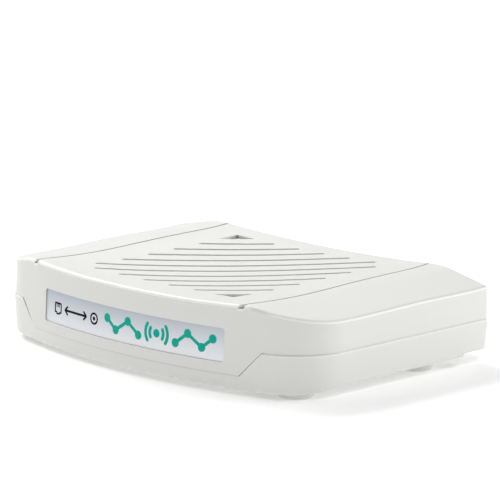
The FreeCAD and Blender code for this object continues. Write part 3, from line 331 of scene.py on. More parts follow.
def painted_groove_shade(tree):
    """Mask of the painted shade in grooves and narrow gaps, and along the fine seam below the front flap."""
    height = separate(tree, "Z")
    depth = separate(tree, "Y")
    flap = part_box("upper_shell")[0].z
    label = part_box("front_label")[0].z
    # Painted shade along the fine seam below the front flap.
    line = both(tree, rises(tree, height, flap - 0.00029, flap - 0.00009),
                falls(tree, height, flap - 0.00001, flap + 0.00019))
    width = remap(tree, combine(tree, "ABSOLUTE", separate(tree, "X")), SEAM_SHADE, 0, 0.0530, 0.0536)
    seam = both(tree, line, both(tree, width, falls(tree, depth, FRONT_ZONE, FRONT_ZONE + 0.004)))
    ledge = both(tree, falls(tree, depth, -0.050, -0.048),
                 both(tree, rises(tree, height, label - 0.00085, label - 0.00055),
                      falls(tree, height, label + 0.00035, label + 0.00065)))
    # Painted shade in grooves, gaps and corners, left off the ledge below the label.
    gaps = remap(tree, occlusion(tree, GROOVE_REACH, False), 0, 1, 0.92, 0.45)
    return either(tree, seam, both(tree, falls(tree, ledge, 0, 1), gaps))


def casing_plastic(name, colour, highlight_colour, shade_colour):
    """Off-white plastic with a painted highlight on its outer rims and painted shade in its grooves."""
    material, tree, shader = new_material(name)
    darker = tuple(c * 0.975 for c in colour)
    body = two_tone(tree, noise(tree, 18.0, 3.0), colour, darker)
    # Painted highlight: the outer rims are mixed towards a lighter colour.
    highlighted = mix_in(tree, body, highlight_colour, painted_rim_highlights(tree))
    # Painted shade: grooves, gaps and the flap seam are mixed towards a darker colour.
    coat(tree, shader, mix_in(tree, highlighted, shade_colour, painted_groove_shade(tree)), 240.0, 0.44, 0.54)
    bump(tree, shader, noise(tree, GRAIN, 3.0, 0.6), GRAIN_DEPTH)
    return material


def metal(name, colour, roughness, grain=900.0, depth=0.000005):
    """Plain metal with a faint grain, a little darker in places."""
    material, tree, shader = new_material(name)
    shader.inputs["Metallic"].default_value = 1.0
    darker = tuple(c * 0.86 for c in colour)
    grained = two_tone(tree, noise(tree, 160.0, 4.0), colour, darker)
    coat(tree, shader, grained, 420.0, roughness - 0.06, roughness + 0.1)
    bump(tree, shader, noise(tree, grain), depth)
    return material


def silver_film(name):
    """Printed film: blue-grey at the top left that fades to pale silver below and to the right."""
    material, tree, shader = new_material(name)
    low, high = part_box("front_label")
    up = remap(tree, separate(tree, "Z"), 0.0, 0.85, low.z, high.z)
    leftward = remap(tree, separate(tree, "X"), 0.22, 0.0, low.x, high.x)
    blue = combine(tree, "ADD", up, leftward)
    coat(tree, shader, two_tone(tree, blue, FILM_PALE, FILM_BLUE), 900.0, 0.3, 0.38)
    bump(tree, shader, noise(tree, 3000.0), 0.000004)
    return material


def board_mask(name, colour, track):
    """Solder mask over copper: broad pours and fine tracks that show through as a lighter green."""
    material, tree, shader = new_material(name)
    cells = texture(tree, "ShaderNodeTexVoronoi", 160.0)
    cells.distance = "CHEBYCHEV"
    wave = texture(tree, "ShaderNodeTexWave", 260.0)
    wave.bands_direction = "DIAGONAL"
    lines = remap(tree, wave.outputs["Fac"], 0.0, 1.0, 0.72, 0.8)
    pours = remap(tree, cells.outputs["Distance"], 1.0, 0.0, 0.34, 0.4)
    copper = both(tree, lines, pours)
    coat(tree, shader, two_tone(tree, copper, colour, track), 200.0, 0.28, 0.4)
    bump(tree, shader, copper, 0.00003)
    return material


def clear_lens(name, colour):
    """Tinted clear plastic."""
    material, tree, shader = new_material(name)
    darker = tuple(c * 0.8 for c in colour)
    coat(tree, shader, two_tone(tree, noise(tree, 300.0), colour, darker), 500.0, 0.08, 0.16)
    shader.inputs["Transmission Weight"].default_value = 0.5
    shader.inputs["IOR"].default_value = 1.49
    return material


def make_materials():
    """One material for each slot of the record, and those of the printed marks."""
    return {
        # The casing carries a painted highlight on its rims and painted shade in its grooves, gaps and flap
        # seam.
        "casing": casing_plastic("casing", CASING_WHITE, CASING_PAINTED_HIGHLIGHT, CASING_PAINTED_SHADE),
        "rear_panel": moulded_plastic("rear_panel", (0.72, 0.72, 0.70), 0.5),
        "label": silver_film("label"),
        "sticker": moulded_plastic("sticker", (0.78, 0.78, 0.77), 0.6, 1200.0, 0.00001),
        "feet": moulded_plastic("feet", (0.82, 0.82, 0.80), 0.62, 1500.0, 0.00003),
        "screw_steel": metal("screw_steel", (0.50, 0.51, 0.53), 0.3),
        "board": board_mask("board", (0.010, 0.085, 0.030), (0.022, 0.150, 0.055)),
        "antenna_board": board_mask("antenna_board", (0.012, 0.070, 0.030), (0.020, 0.110, 0.045)),
        "nickel": metal("nickel", (0.66, 0.64, 0.60), 0.2),
        "insulator": moulded_plastic("insulator", (0.82, 0.82, 0.79), 0.45),
        "gold": metal("gold", (0.86, 0.60, 0.22), 0.2),
        "black_plastic": moulded_plastic("black_plastic", (0.018, 0.018, 0.019), 0.45),
        "shield_tin": metal("shield_tin", (0.68, 0.68, 0.67), 0.24, 500.0, 0.00001),
        "pin_metal": metal("pin_metal", (0.70, 0.69, 0.65), 0.22),
        "switch_body": moulded_plastic("switch_body", (0.022, 0.022, 0.024), 0.5),
        "button_grey": moulded_plastic("button_grey", (0.12, 0.125, 0.13), 0.42),
        "plunger_white": moulded_plastic("plunger_white", (0.62, 0.62, 0.58), 0.5),
        "chip_black": moulded_plastic("chip_black", (0.020, 0.020, 0.022), 0.55, 4000.0),
        "thermal_pad": moulded_plastic("thermal_pad", (0.22, 0.32, 0.45), 0.7),
        "heatsink": metal("heatsink", (0.60, 0.61, 0.62), 0.36, 1400.0, 0.00002),
        "capacitor": moulded_plastic("capacitor", (0.016, 0.020, 0.045), 0.3),
        "inductor": moulded_plastic("inductor", (0.050, 0.050, 0.052), 0.6),
        "crystal": metal("crystal", (0.72, 0.72, 0.70), 0.2),
        "led": clear_lens("led", (0.30, 0.62, 0.22)),
        "cable_black": moulded_plastic("cable_black", (0.020, 0.020, 0.020), 0.4),
        "ink_dark": printed_ink("ink_dark", INK_DARK),
        "ink_teal": printed_ink("ink_teal", INK_TEAL),
        "ink_grey": moulded_plastic("ink_grey", (0.13, 0.13, 0.135), 0.55, 3000.0, 0.000004),
        "ink_white": moulded_plastic("ink_white", (0.70, 0.70, 0.68), 0.5, 3000.0, 0.000004),
    }


MATERIALS = make_materials()


# ---------------------------------------------------------------- mesh tools

# From here on, all places and sizes are in millimetres.
TAU = 2 * math.pi
INK_THICK = 0.02


class Shape:
    """The vertices and faces of one piece."""

    def __init__(self):
        self.verts = []
        self.faces = []

    def add(self, verts, faces):
        """Add faces, each a list of places in this list of vertices."""
        base = len(self.verts)
        self.verts += [tuple(v) for v in verts]
        self.faces += [[base + i for i in face] for face in faces]

    def add_rings(self, rings, looped=False):
        """Loops of equal length joined by quads. The ends are capped, or joined if looped."""
        count = len(rings[0])
        pairs = [(k, k + 1) for k in range(len(rings) - 1)]
        if looped:
            pairs.append((len(rings) - 1, 0))
        faces = []
        for a, b in pairs:
            for i in range(count):
                j = (i + 1) % count
                faces.append([a * count + i, a * count + j, b * count + j, b * count + i])
        if not looped:
            faces.append(list(range(count)))
            faces.append([(len(rings) - 1) * count + i for i in range(count)])
        self.add([p for ring in rings for p in ring], faces)

    def revolve(self, place, profile, segments=64, looped=False):
        """Turn (radius, height) pairs round an axis. Either value may be a function of the angle."""
        rings = []
        for radius, height in profile:
            ring = []
            for i in range(segments):
                angle = TAU * i / segments
                r = radius(angle) if callable(radius) else radius
                h = height(angle) if callable(height) else height
                ring.append(place(r * math.cos(angle), r * math.sin(angle), h))
            rings.append(ring)
        self.add_rings(rings, looped)

    def add_mesh(self, mesh):
        """Add a bmesh and free it."""
        mesh.verts.index_update()
        self.add([v.co[:] for v in mesh.verts], [[v.index for v in f.verts] for f in mesh.faces])
        mesh.free()

    def block(self, low, high, bevel, segments):
        """A box with rounded edges."""
        mesh = cuboid(low, high)
        bmesh.ops.bevel(mesh, geom=list(mesh.edges), offset=bevel, segments=segments, profile=0.5,
                        affect="EDGES")
        self.add_mesh(mesh)

    def tube(self, points, radius, segments=8):
        """A round wire along a path."""
        points = [Vector(p) for p in points]
        side = None
        rings = []
        for k, point in enumerate(points):
            ahead = (points[min(k + 1, len(points) - 1)] - points[max(k - 1, 0)]).normalized()
            if side is None:
                side = ahead.orthogonal().normalized()
            side = (side - ahead * side.dot(ahead)).normalized()
            other = ahead.cross(side)
            rings.append([point + side * (radius * math.cos(TAU * i / segments))
                          + other * (radius * math.sin(TAU * i / segments)) for i in range(segments)])
        self.add_rings(rings)

    def inked(self, surface, pairs, looped=False, thick=INK_THICK):
        """A printed strip between pairs of (u, v) points, a hair's breadth proud of a surface.

        surface(u, v, lift) gives the place in space.
        """
        rings = []
        for (u1, v1), (u2, v2) in pairs:
            rings.append([surface(u1, v1, -thick / 2), surface(u1, v1, thick),
                          surface(u2, v2, thick), surface(u2, v2, -thick / 2)])
        self.add_rings(rings, looped)

    def stroke(self, surface, points, width, looped=False, step=0.6):
        """A printed line of one width along a path, with round ends unless it is looped."""
        path = subdivide(points, step, looped)
        half = width / 2
        reach = [0.0]
        for a, b in zip(path, path[1:]):
            reach.append(reach[-1] + math.dist(a, b))
        last = len(path) - 1
        pairs = []
        for k, (u, v) in enumerate(path):
            before = path[k - 1] if (k or looped) else path[k]
            after = path[(k + 1) % len(path)] if (k < last or looped) else path[k]
            du, dv = after[0] - before[0], after[1] - before[1]
            size = math.hypot(du, dv) or 1.0
            to_end = min(reach[k], reach[-1] - reach[k])
            reaches = half
            if not looped and to_end < half:
                reaches = half * math.sqrt(max(0.02, 1 - (1 - to_end / half) ** 2))
            nu, nv = -dv / size * reaches, du / size * reaches
            pairs.append(((u - nu, v - nv), (u + nu, v + nv)))
        self.inked(surface, pairs, looped)

    def dot(self, surface, centre, radius, steps=24, thick=INK_THICK):
        """A printed round spot."""
        pairs = []
        for k in range(steps + 1):
            angle = math.pi * (1 - k / steps)
            u = centre[0] + radius * math.cos(angle)
            h = max(0.01, radius * math.sin(angle))
            pairs.append(((u, centre[1] - h), (u, centre[1] + h)))
        self.inked(surface, pairs, thick=thick)

    def finish(self, name, slot, body="case", material=None, replaces=(), crease=35):
        """Make the object: it rides on a body and takes its finish from a slot."""
        mesh = bpy.data.meshes.new(name)
        mesh.from_pydata([tuple(c * MM for c in v) for v in self.verts], [], self.faces)
        tidy = bmesh.new()
        tidy.from_mesh(mesh)
        bmesh.ops.recalc_face_normals(tidy, faces=tidy.faces)
        tidy.to_mesh(mesh)
        tidy.free()
        mesh.shade_smooth()
        mesh.set_sharp_from_angle(angle=math.radians(crease))
        piece = bpy.data.objects.new(name, mesh)
        bpy.context.scene.collection.objects.link(piece)
        mesh.materials.append(MATERIALS[material or slot])
        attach(piece, body)
        if replaces:
            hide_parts(*replaces)
        return piece


def cuboid(low, high):
    """A bmesh box between two corners."""
    mesh = bmesh.new()
    bmesh.ops.create_cube(mesh, size=1.0)
    for vert in mesh.verts:
        vert.co = Vector([lo + (hi - lo) * (c + 0.5) for c, lo, hi in zip(vert.co, low, high)])
    return mesh


def subdivide(points, step, looped):
    """Points along a path, no further apart than a step."""
    corners = list(points) + ([points[0]] if looped else [])
    path = []
    for a, b in zip(corners, corners[1:]):
        count = max(1, math.ceil(math.dist(a, b) / step))
        path += [(a[0] + (b[0] - a[0]) * k / count, a[1] + (b[1] - a[1]) * k / count)
                 for k in range(count)]
    if not looped:
        path.append(tuple(corners[-1]))
    return path


def arc(centre, radius, start, end, steps=16):
    """Points on a circle between two angles in degrees."""
    angles = [math.radians(start + (end - start) * k / steps) for k in range(steps + 1)]
    return [(centre[0] + radius * math.cos(a), centre[1] + radius * math.sin(a)) for a in angles]


def ring(centre, radius, steps=32):
    """Points round a whole circle."""
    return arc(centre, radius, 0, 360 - 360 / steps, steps - 1)


# Where a turned part's axis stands and which way it runs: a and b go across it, and h along it.

def upright(x, y, z):
    return lambda a, b, h: (x + a, y + b, z + h)


def downward(x, y, z):
    return lambda a, b, h: (x + a, y + b, z - h)


def along_y(x, y, z):
    return lambda a, b, h: (x + a, y + h, z + b)


def box_mm(node):
    """The low and high corners of a CAD node."""
    low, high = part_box(node)
    return low / MM, high / MM


def middle(node):
    low, high = box_mm(node)
    return (low + high) / 2


def islands(node):
    """The boxes, in millimetres, of the separate solids of one CAD node, from left to right."""
    mesh = NODES[node].data
    place_of = {}
    leader = []

    def find(i):
        while leader[i] != i:
            leader[i] = leader[leader[i]]
            i = leader[i]
        return i

    ids = []
    for vert in mesh.vertices:
        key = tuple(round(c * 1e6) for c in vert.co)
        if key not in place_of:
            place_of[key] = len(leader)
            leader.append(len(leader))
        ids.append(place_of[key])
    for edge in mesh.edges:
        a, b = (find(ids[v]) for v in edge.vertices)
        leader[a] = b
    groups = {}
    for vert, i in zip(mesh.vertices, ids):
        groups.setdefault(find(i), []).append(vert.co / MM)
    boxes = [tuple(Vector([pick(p[k] for p in points) for k in range(3)]) for pick in (min, max))
             for points in groups.values()]
    return sorted(boxes, key=lambda box: [round(c, 2) for c in box[0]])


def thread_rows(low, high, major, depth, pitch, chamfer=0.0, steps=8):
    """Rows of a screw thread between two heights, with a chamfered top end."""
    rows = []
    count = round((high - low) / pitch * steps)
    for k in range(count + 1):
        h = low + (high - low) * k / count
        limit = major - max(0.0, h - (high - chamfer))

        def radius(angle, h=h, limit=limit):
            phase = (h / pitch - angle / TAU) % 1.0
            ridge = min(1.0, max(0.0, 1.4 * (1 - abs(2 * phase - 1)) - 0.2))
            return min(limit, major - depth * (1 - ridge))

        rows.append((radius, h))
    return rows


# ---------------------------------------------------------------- front label

LABEL = NODES["front_label"].data
LABEL_TREE = BVHTree.FromPolygons([v.co for v in LABEL.vertices], [p.vertices for p in LABEL.polygons])
BEFORE_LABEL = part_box("front_label")[0].y - 0.01


def over_label(x, z, lift):
    """The place in front of the film at x, z: the film follows the bowed front."""
    hit = LABEL_TREE.ray_cast(Vector((x * MM, BEFORE_LABEL, z * MM)), Vector((0, 1, 0)))[0]
    return x, hit.y / MM - lift, z


def make_dark_label_marks(centre):
    """A network socket, a two-way arrow and a cable in section."""
    left, arrow_start, arrow_end, cable = -37.4, -32.8, -20.0, -15.4
    marks = Shape()
    socket = [(-1.9, -1.6), (-0.9, -1.6), (-0.9, -2.1), (0.9, -2.1), (0.9, -1.6), (1.9, -1.6),
              (1.9, 1.7), (-1.9, 1.7)]
    marks.stroke(over_label, [(left + u, centre + v) for u, v in socket], 0.7, looped=True)
    for k in range(3):
        u = left - 0.8 + 0.8 * k
        marks.stroke(over_label, [(u, centre + 0.1), (u, centre + 1.5)], 0.38, step=0.1)
    marks.stroke(over_label, [(arrow_start, centre), (arrow_end, centre)], 0.85, step=0.2)
    for end, way in ((arrow_start, 1), (arrow_end, -1)):
        head = [(end + way * 1.7, centre + 1.6), (end - way * 0.1, centre), (end + way * 1.7, centre - 1.6)]
        marks.stroke(over_label, head, 0.8, step=0.2)
    marks.stroke(over_label, ring((cable, centre), 1.85), 0.72, looped=True)
    marks.dot(over_label, (cable, centre), 0.72)
    marks.finish("label_marks_dark", "label", material="ink_dark")


def make_teal_label_marks(centre):
    """A beacon between two chains of linked discs."""
    hub, disc = 17.0, 1.6
    marks = Shape()
    marks.dot(over_label, (hub, centre), 1.5)
    for side in (-1, 1):
        turn = 0 if side > 0 else 180
        for radius in (3.2, 5.2):
            marks.stroke(over_label, arc((hub, centre), radius, turn - 42, turn + 42), 1.3, step=0.3)
        chain = ((8.8, -2.0), (14.2, 2.0), (20.4, -2.0), (25.0, 1.6))
        spots = [(hub + side * u, centre + v) for u, v in chain]
        for first, last in zip(spots, spots[1:]):
            share = (disc - 0.8) / math.dist(first, last)
            ends = [tuple(a + (b - a) * t for a, b in zip(first, last)) for t in (share, 1 - share)]
            marks.stroke(over_label, ends, 1.25, step=0.25)
        for spot in spots:
            marks.dot(over_label, spot, disc, thick=2 * INK_THICK)
    marks.finish("label_marks_teal", "label", material="ink_teal")


def make_label_print():
    """Generic marks on the film, without any lettering."""
    centre = middle("front_label").z
    make_dark_label_marks(centre)
    make_teal_label_marks(centre)


# ---------------------------------------------------------------- feet and screws

FEET = ("foot_front_left", "foot_front_right", "foot_rear_left", "foot_rear_right")


def make_feet():
    """Rubber feet with a rounded rim, a sunken middle and a pin that goes up into the casing."""
    profile = [(0.3, 0.4), (4.4, 0.4), (4.8, 0.0), (5.5, 0.0), (5.95, 0.12), (6.2, 0.4), (6.3, 0.85),
               (6.3, 3.15), (6.22, 3.36), (6.05, 3.46), (1.58, 3.46), (1.58, 5.6), (1.3, 5.9), (0.3, 5.9)]
    for node in FEET:
        spot = middle(node)
        foot = Shape()
        foot.revolve(upright(spot.x, spot.y, 0), profile, 96)
        foot.finish("rubber_" + node, "feet", replaces=[node])


def smooth_step(value, low, high):
    """0 up to low and 1 from high on, with a smooth change in between."""
    t = min(1.0, max(0.0, (value - low) / (high - low)))
    return t * t * (3 - 2 * t)


def cross_recess(radius, dome, wing):
    """Height of a screw's face below its crown, with a cross-shaped driver recess."""
    def height(angle):
        x, y = abs(radius * math.cos(angle)), abs(radius * math.sin(angle))
        inside = (1 - smooth_step(min(x, y), 0.3, 0.45)) * (1 - smooth_step(max(x, y), wing - 0.15, wing))
        return dome * radius ** 2 + inside * (1.1 - 0.45 * max(x, y))
    return height


def screw_profile(head_radius, head_height, shank_radius, length, pitch):
    """A screw from its crown down: domed head with a driver recess, then the threaded shank."""
    steps = 14
    profile = []
    for k in range(steps + 1):
        r = 0.12 + (head_radius - 0.42) * k / steps
        profile.append((r, cross_recess(r, 0.05, head_radius * 0.6)))
    profile += [(head_radius - 0.08, 0.42), (head_radius, 0.6), (head_radius, head_height - 0.1),
                (head_radius - 0.1, head_height), (shank_radius, head_height)]
    profile += thread_rows(head_height + 0.2, head_height + length - 0.8, shank_radius,
                           shank_radius * 0.24, pitch)
    profile.append((0.25, head_height + length))
    return profile


def make_screws(node, points_up, head_radius, head_height, pitch):
    """The screws of one CAD node, with a real recess and thread."""
    screws = Shape()
    for low, high in islands(node):
        spot = (low + high) / 2
        place = upright(spot.x, spot.y, low.z) if points_up else downward(spot.x, spot.y, high.z)
        length = high.z - low.z - head_height
        screws.revolve(place, screw_profile(head_radius, head_height, 1.0, length, pitch), 72)
    screws.finish("threaded_" + node, "screw_steel", replaces=[node])


# ---------------------------------------------------------------- rear connectors

THREADS_PER_INCH = 32


def make_coax_connectors():
    """F connectors with a real thread, and their hexagon nuts."""
    panel_back = box_mm("rear_panel")[1].y
    block_end = panel_back - 2.4
    for name in ("coax_in", "coax_out"):
        low, high = box_mm(name + "_connector")
        x, z = (low.x + high.x) / 2, middle(name + "_nut").z
        body = Shape()
        body.block(low, (high.x, block_end, high.z), 0.4, 3)
        rows = thread_rows(block_end + 0.4, high.y, 4.76, 0.52, 25.4 / THREADS_PER_INCH, chamfer=0.5)
        profile = [(3.4, block_end - 3), (4.2, block_end - 3)] + rows + [(3.75, high.y), (3.42, high.y - 0.3)]
        body.revolve(along_y(x, 0, z), profile, 96, looped=True)
        body.finish(name + "_threaded_body", "nickel", replaces=[name + "_connector"], crease=50)
        make_hexagon_nut(name, x, z)


def make_toothed_washers():
    """Lock washers with 14 teeth round the rim."""
    washers = Shape()
    bore, thick, bevel = 4.85, 0.58, 0.12
    for low, high in islands("coax_washers"):
        outer = (high.x - low.x) / 2
        centre = (low + high) / 2

        def rim(angle, outer=outer):
            return outer - 0.5 * smooth_step(math.sin(14 * angle), -0.4, 0.4)

        profile = [(bore, 0.0), (lambda a: rim(a) - 0.1, 0.0), (rim, bevel), (rim, thick - bevel),
                   (lambda a: rim(a) - 0.1, thick), (bore, thick)]
        washers.revolve(along_y(centre.x, low.y, centre.z), profile, 168, looped=True)
    washers.finish("toothed_washers", "nickel", replaces=["coax_washers"])


def make_hexagon_nut(name, x, z):
    """A hexagon nut whose corners are turned off at both ends."""
    low, high = box_mm(name + "_nut")
    flats = (high.z - low.z) / 2
    thick = high.y - low.y
    round_off = flats + 0.28

    def hexagon(angle):
        return flats / math.cos(angle % (math.pi / 3) - math.pi / 6)

    def end(angle):
        return min(hexagon(angle), round_off)

    def rise(angle):
        return 0.03 + max(0.0, hexagon(angle) - round_off) * 0.577

    profile = [(4.4, 0.0), (end, 0.0), (hexagon, rise), (hexagon, lambda a: thick - rise(a)),
               (end, thick), (4.95, thick), (4.4, thick - 0.5)]
    nut = Shape()
    nut.revolve(along_y(x, low.y, z), profile, 120, looped=True)
    nut.finish(name + "_hexagon_nut", "nickel", replaces=[name + "_nut"], crease=25)


def make_socket_contacts():
    """The eight sprung wires in each network socket, bent over at the mouth."""
    wires = Shape()
    for low, high in islands("lan_contacts"):
        x = (low.x + high.x) / 2
        path = [(low.y + 0.2, low.z + 0.12), (low.y + 1.0, low.z + 0.2), (high.y - 1.6, high.z - 0.48),
                (high.y - 0.7, high.z - 0.3), (high.y - 0.25, high.z - 0.1), (high.y - 0.2, high.z + 0.15)]
        wires.tube([(x, y, z) for y, z in path], 0.19)
    wires.finish("socket_wires", "gold", replaces=["lan_contacts"])


def make_lamps():
    """Small lamps with a domed end."""
    lenses = Shape()
    for low, high in islands("status_leds"):
        x, z = (low.x + high.x) / 2, (low.z + high.z) / 2
        profile = [(0.2, low.y), (0.9, low.y), (1.0, low.y + 0.15), (1.0, high.y - 0.7), (0.92, high.y - 0.4),
                   (0.7, high.y - 0.16), (0.4, high.y - 0.04), (0.12, high.y)]
        lenses.revolve(along_y(x, 0, z), profile, 40)
    lenses.finish("lamp_lenses", "led", replaces=["status_leds"])


# ---------------------------------------------------------------- buttons

def make_power_cap():
    """A square cap with a dished face."""
    low, high = box_mm("power_button")
    mesh = cuboid(low, high)
    outer = [f for f in mesh.faces if f.normal.y > 0.9]
    for inset, sink in ((0.9, 0.0), (0.7, 0.16), (0.7, 0.12)):
        bmesh.ops.inset_region(mesh, faces=outer, thickness=inset, depth=-sink)
    rim = [e for e in mesh.edges if len(e.link_faces) == 2 and e.calc_face_angle(0) > 1.2]
    bmesh.ops.bevel(mesh, geom=rim, offset=0.5, segments=4, profile=0.5, affect="EDGES")
    cap = Shape()
    cap.add_mesh(mesh)
    cap.finish("power_cap", "button_grey", body="power_button", replaces=["power_button"])


def make_round_cap(name, segments, inner, outer):
    """A turned cap: pairs of radius and distance, first from its inner end and then from its face."""
    button = name + "_button"
    low, high = box_mm(button)
    spot = (low + high) / 2
    profile = [(r, low.y + y) for r, y in inner] + [(r, high.y + y) for r, y in outer]
    cap = Shape()
    cap.revolve(along_y(spot.x, 0, spot.z), profile, segments)
    cap.finish(name + "_cap", "button_grey", body=button, replaces=[button])


def make_round_caps():
    """A dished cap on a thinner stem for pairing, and a thin pin for the reset."""
    make_round_cap("pair", 56, [(0.2, 0.0), (1.1, 0.0), (1.1, 1.0), (1.9, 1.0), (2.0, 1.12)],
                   [(2.0, -0.35), (1.88, -0.1), (1.65, 0.0), (1.2, -0.06), (0.7, -0.16), (0.2, -0.2)])
    make_round_cap("reset", 40, [(0.15, 0.0), (0.9, 0.0), (1.0, 0.1)],
                   [(1.0, -0.2), (0.85, 0.0), (0.5, -0.06), (0.15, -0.08)])


# ---------------------------------------------------------------- rear panel marks

# Strokes of each port number, within a box about 1 wide and 1.6 high.
DIGITS = {
    1: [(-0.28, 0.42), (0.05, 0.8), (0.05, -0.8)],
    2: [(-0.45, 0.4), (-0.35, 0.68), (0, 0.8), (0.35, 0.68), (0.45, 0.35), (0.3, 0), (-0.45, -0.8),
        (0.5, -0.8)],
    3: [(-0.45, 0.6), (-0.1, 0.8), (0.3, 0.72), (0.42, 0.42), (0.3, 0.12), (0, 0.02), (0.32, -0.1),
        (0.46, -0.42), (0.3, -0.72), (-0.1, -0.8), (-0.45, -0.6)],
    4: [(0.2, -0.8), (0.2, 0.8), (-0.5, -0.35), (0.5, -0.35)],
}
# Heights of the marks below the connectors and above the buttons.
LOW_MARKS = 9.4
POWER_MARK, PAIR_MARK, RESET_MARK = 22.3, 21.4, 20.4


def on_panel(x, z):
    """A sheet on the rear panel with its middle at x, z and its u axis to the right, seen from behind."""
    face = box_mm("rear_panel")[1].y
    return lambda u, v, lift: (x - u, face + lift, z + v)


def mark_ports(ink):
    """The number of each network socket."""
    for number, line in DIGITS.items():
        sheet = on_panel(middle(f"lan_housing_{number}").x, LOW_MARKS - 0.05)
        ink.stroke(sheet, [(u * 0.95, v * 0.95) for u, v in line], 0.26, step=0.15)


def mark_buttons(ink):
    """A power symbol, two half turns for pairing and a turning arrow for the reset."""
    power = on_panel(middle("power_button").x, POWER_MARK)
    ink.stroke(power, arc((0, 0), 1.0, 125, 415, 24), 0.3, step=0.2)
    ink.stroke(power, [(0, 0.15), (0, 1.35)], 0.3, step=0.1)
    pair = on_panel(middle("pair_button").x, PAIR_MARK)
    for side, turn in ((-1, 270), (1, 90)):
        ink.stroke(pair, arc((side * 0.45, 0), 0.8, turn - 130, turn + 60, 20), 0.28, step=0.2)
    reset = on_panel(middle("reset_button").x, RESET_MARK)
    ink.stroke(reset, arc((0, 0), 0.75, -30, 260, 20), 0.26, step=0.2)
    ink.stroke(reset, [(0.25, -0.35), (0.68, -0.42), (1.0, -0.1)], 0.24, step=0.1)


def mark_power_inlet(ink):
    """The polarity of the plug: plus to the pin and minus to the sleeve."""
    sheet = on_panel(middle("dc_jack_pin").x, LOW_MARKS)
    ink.stroke(sheet, ring((0, 0), 0.75), 0.22, looped=True)
    ink.dot(sheet, (0, 0), 0.32)
    for side in (-1, 1):
        ink.stroke(sheet, [(side * 0.85, 0), (side * 2.0, 0)], 0.22, step=0.1)
        ink.stroke(sheet, [(side * 2.4, 0), (side * 3.3, 0)], 0.22, step=0.1)
    ink.stroke(sheet, [(-2.85, -0.45), (-2.85, 0.45)], 0.22, step=0.1)


def mark_coax(ink):
    """A cable in section with an arrow in or out."""
    for name, way, start, end in (("coax_in", -1, 3.2, 1.3), ("coax_out", 1, 1.3, 3.2)):
        sheet = on_panel(middle(name + "_nut").x, LOW_MARKS + 0.1)
        ink.stroke(sheet, ring((0, 0), 0.8), 0.24, looped=True)
        ink.dot(sheet, (0, 0), 0.28)
        ink.stroke(sheet, [(start, 0), (end, 0)], 0.24, step=0.1)
        tail = end - way * 0.6
        ink.stroke(sheet, [(tail, 0.5), (end, 0), (tail, -0.5)], 0.24, step=0.1)


def mark_lamps(ink):
    """One, two or three dots beside each lamp."""
    for index, (low, high) in enumerate(islands("status_leds")):
        lamp = (low + high) / 2
        sheet = on_panel(lamp.x + 3.2, lamp.z)
        for k in range(index + 1):
            ink.dot(sheet, (-0.5 * index + k, 0), 0.28)


def make_panel_marks():
    """Port numbers and plain symbols on the rear panel."""
    ink = Shape()
    mark_ports(ink)
    mark_buttons(ink)
    mark_power_inlet(ink)
    mark_coax(ink)
    mark_lamps(ink)
    ink.finish("panel_marks", "rear_panel", material="ink_grey")


def make_sticker_print():
    """Ruled boxes and lines on the rating label, without any lettering."""
    low, high = box_mm("rating_label")
    centre = (low + high) / 2

    def paper(u, v, lift):
        return centre.x + u, centre.y + v, low.z - lift

    ink = Shape()
    w, h = (high.x - low.x) / 2 - 1.2, (high.y - low.y) / 2 - 1.2
    ink.stroke(paper, [(-w, -h), (w, -h), (w, h), (-w, h)], 0.25, looped=True)
    for k in range(5):
        v = h - 4.0 - 2.6 * k
        ink.stroke(paper, [(-w + 2, v), (-w + 22 - 3 * (k % 3), v)], 0.5)
    for k in range(3):
        v = 1.0 - 3.4 * (k + 1)
        ink.stroke(paper, [(2, v), (w - 3 - 5 * (k % 2), v)], 0.5)
    for k in range(3):
        u = 2 + 8 * k
        ink.stroke(paper, [(u, 3), (u + 6, 3), (u + 6, 9), (u, 9)], 0.3, looped=True)
    ink.finish("rating_label_marks", "sticker", material="ink_grey")


# ---------------------------------------------------------------- circuit board

def make_capacitors():
    """Cans in a printed sleeve with a beaded foot, a scored lid and a pale stripe down one side."""
    sleeves, tops, stripes = Shape(), Shape(), Shape()
    for low, high in islands("capacitors"):
        radius, height = (high.x - low.x) / 2, high.z - low.z
        x, y = (low.x + high.x) / 2, (low.y + high.y) / 2
        sleeve = [(0.3, 0.0), (radius - 0.35, 0.0), (radius - 0.08, 0.12), (radius, 0.4), (radius, 1.1),
                  (radius - 0.28, 1.4), (radius - 0.28, 1.65), (radius, 1.95), (radius, height - 0.5),
                  (radius - 0.12, height - 0.15), (radius - 0.45, height), (radius - 0.75, height),
                  (radius - 0.8, height - 0.2), (0.3, height - 0.2)]
        sleeves.revolve(upright(x, y, low.z), sleeve, 48)
        lid = radius - 0.85
        radii = [0.1 + (lid - 0.1) * k / 12 for k in range(13)]
        scored = [(r, cross_groove(r)) for r in radii]
        tops.revolve(upright(x, y, high.z - 0.16), scored + [(lid, -0.1), (0.1, -0.1)], 72)
        for k in range(9):
            angle = math.radians(-18 + 4.5 * k)
            reach = radius + 0.015
            stripe_x, stripe_y = x + reach * math.cos(angle), y + reach * math.sin(angle)
            stripes.tube([(stripe_x, stripe_y, low.z + 2.2), (stripe_x, stripe_y, high.z - 0.7)], 0.05, 6)
    sleeves.finish("capacitor_sleeves", "capacitor", replaces=["capacitors"])
    tops.finish("capacitor_tops", "capacitor", material="heatsink")
    stripes.finish("capacitor_stripes", "capacitor", material="ink_white")


def cross_groove(radius):
    """Height of a can's lid, which is scored with a cross."""
    def height(angle):
        x, y = abs(radius * math.cos(angle)), abs(radius * math.sin(angle))
        return -0.07 * (1 - smooth_step(min(x, y), 0.08, 0.2))
    return height


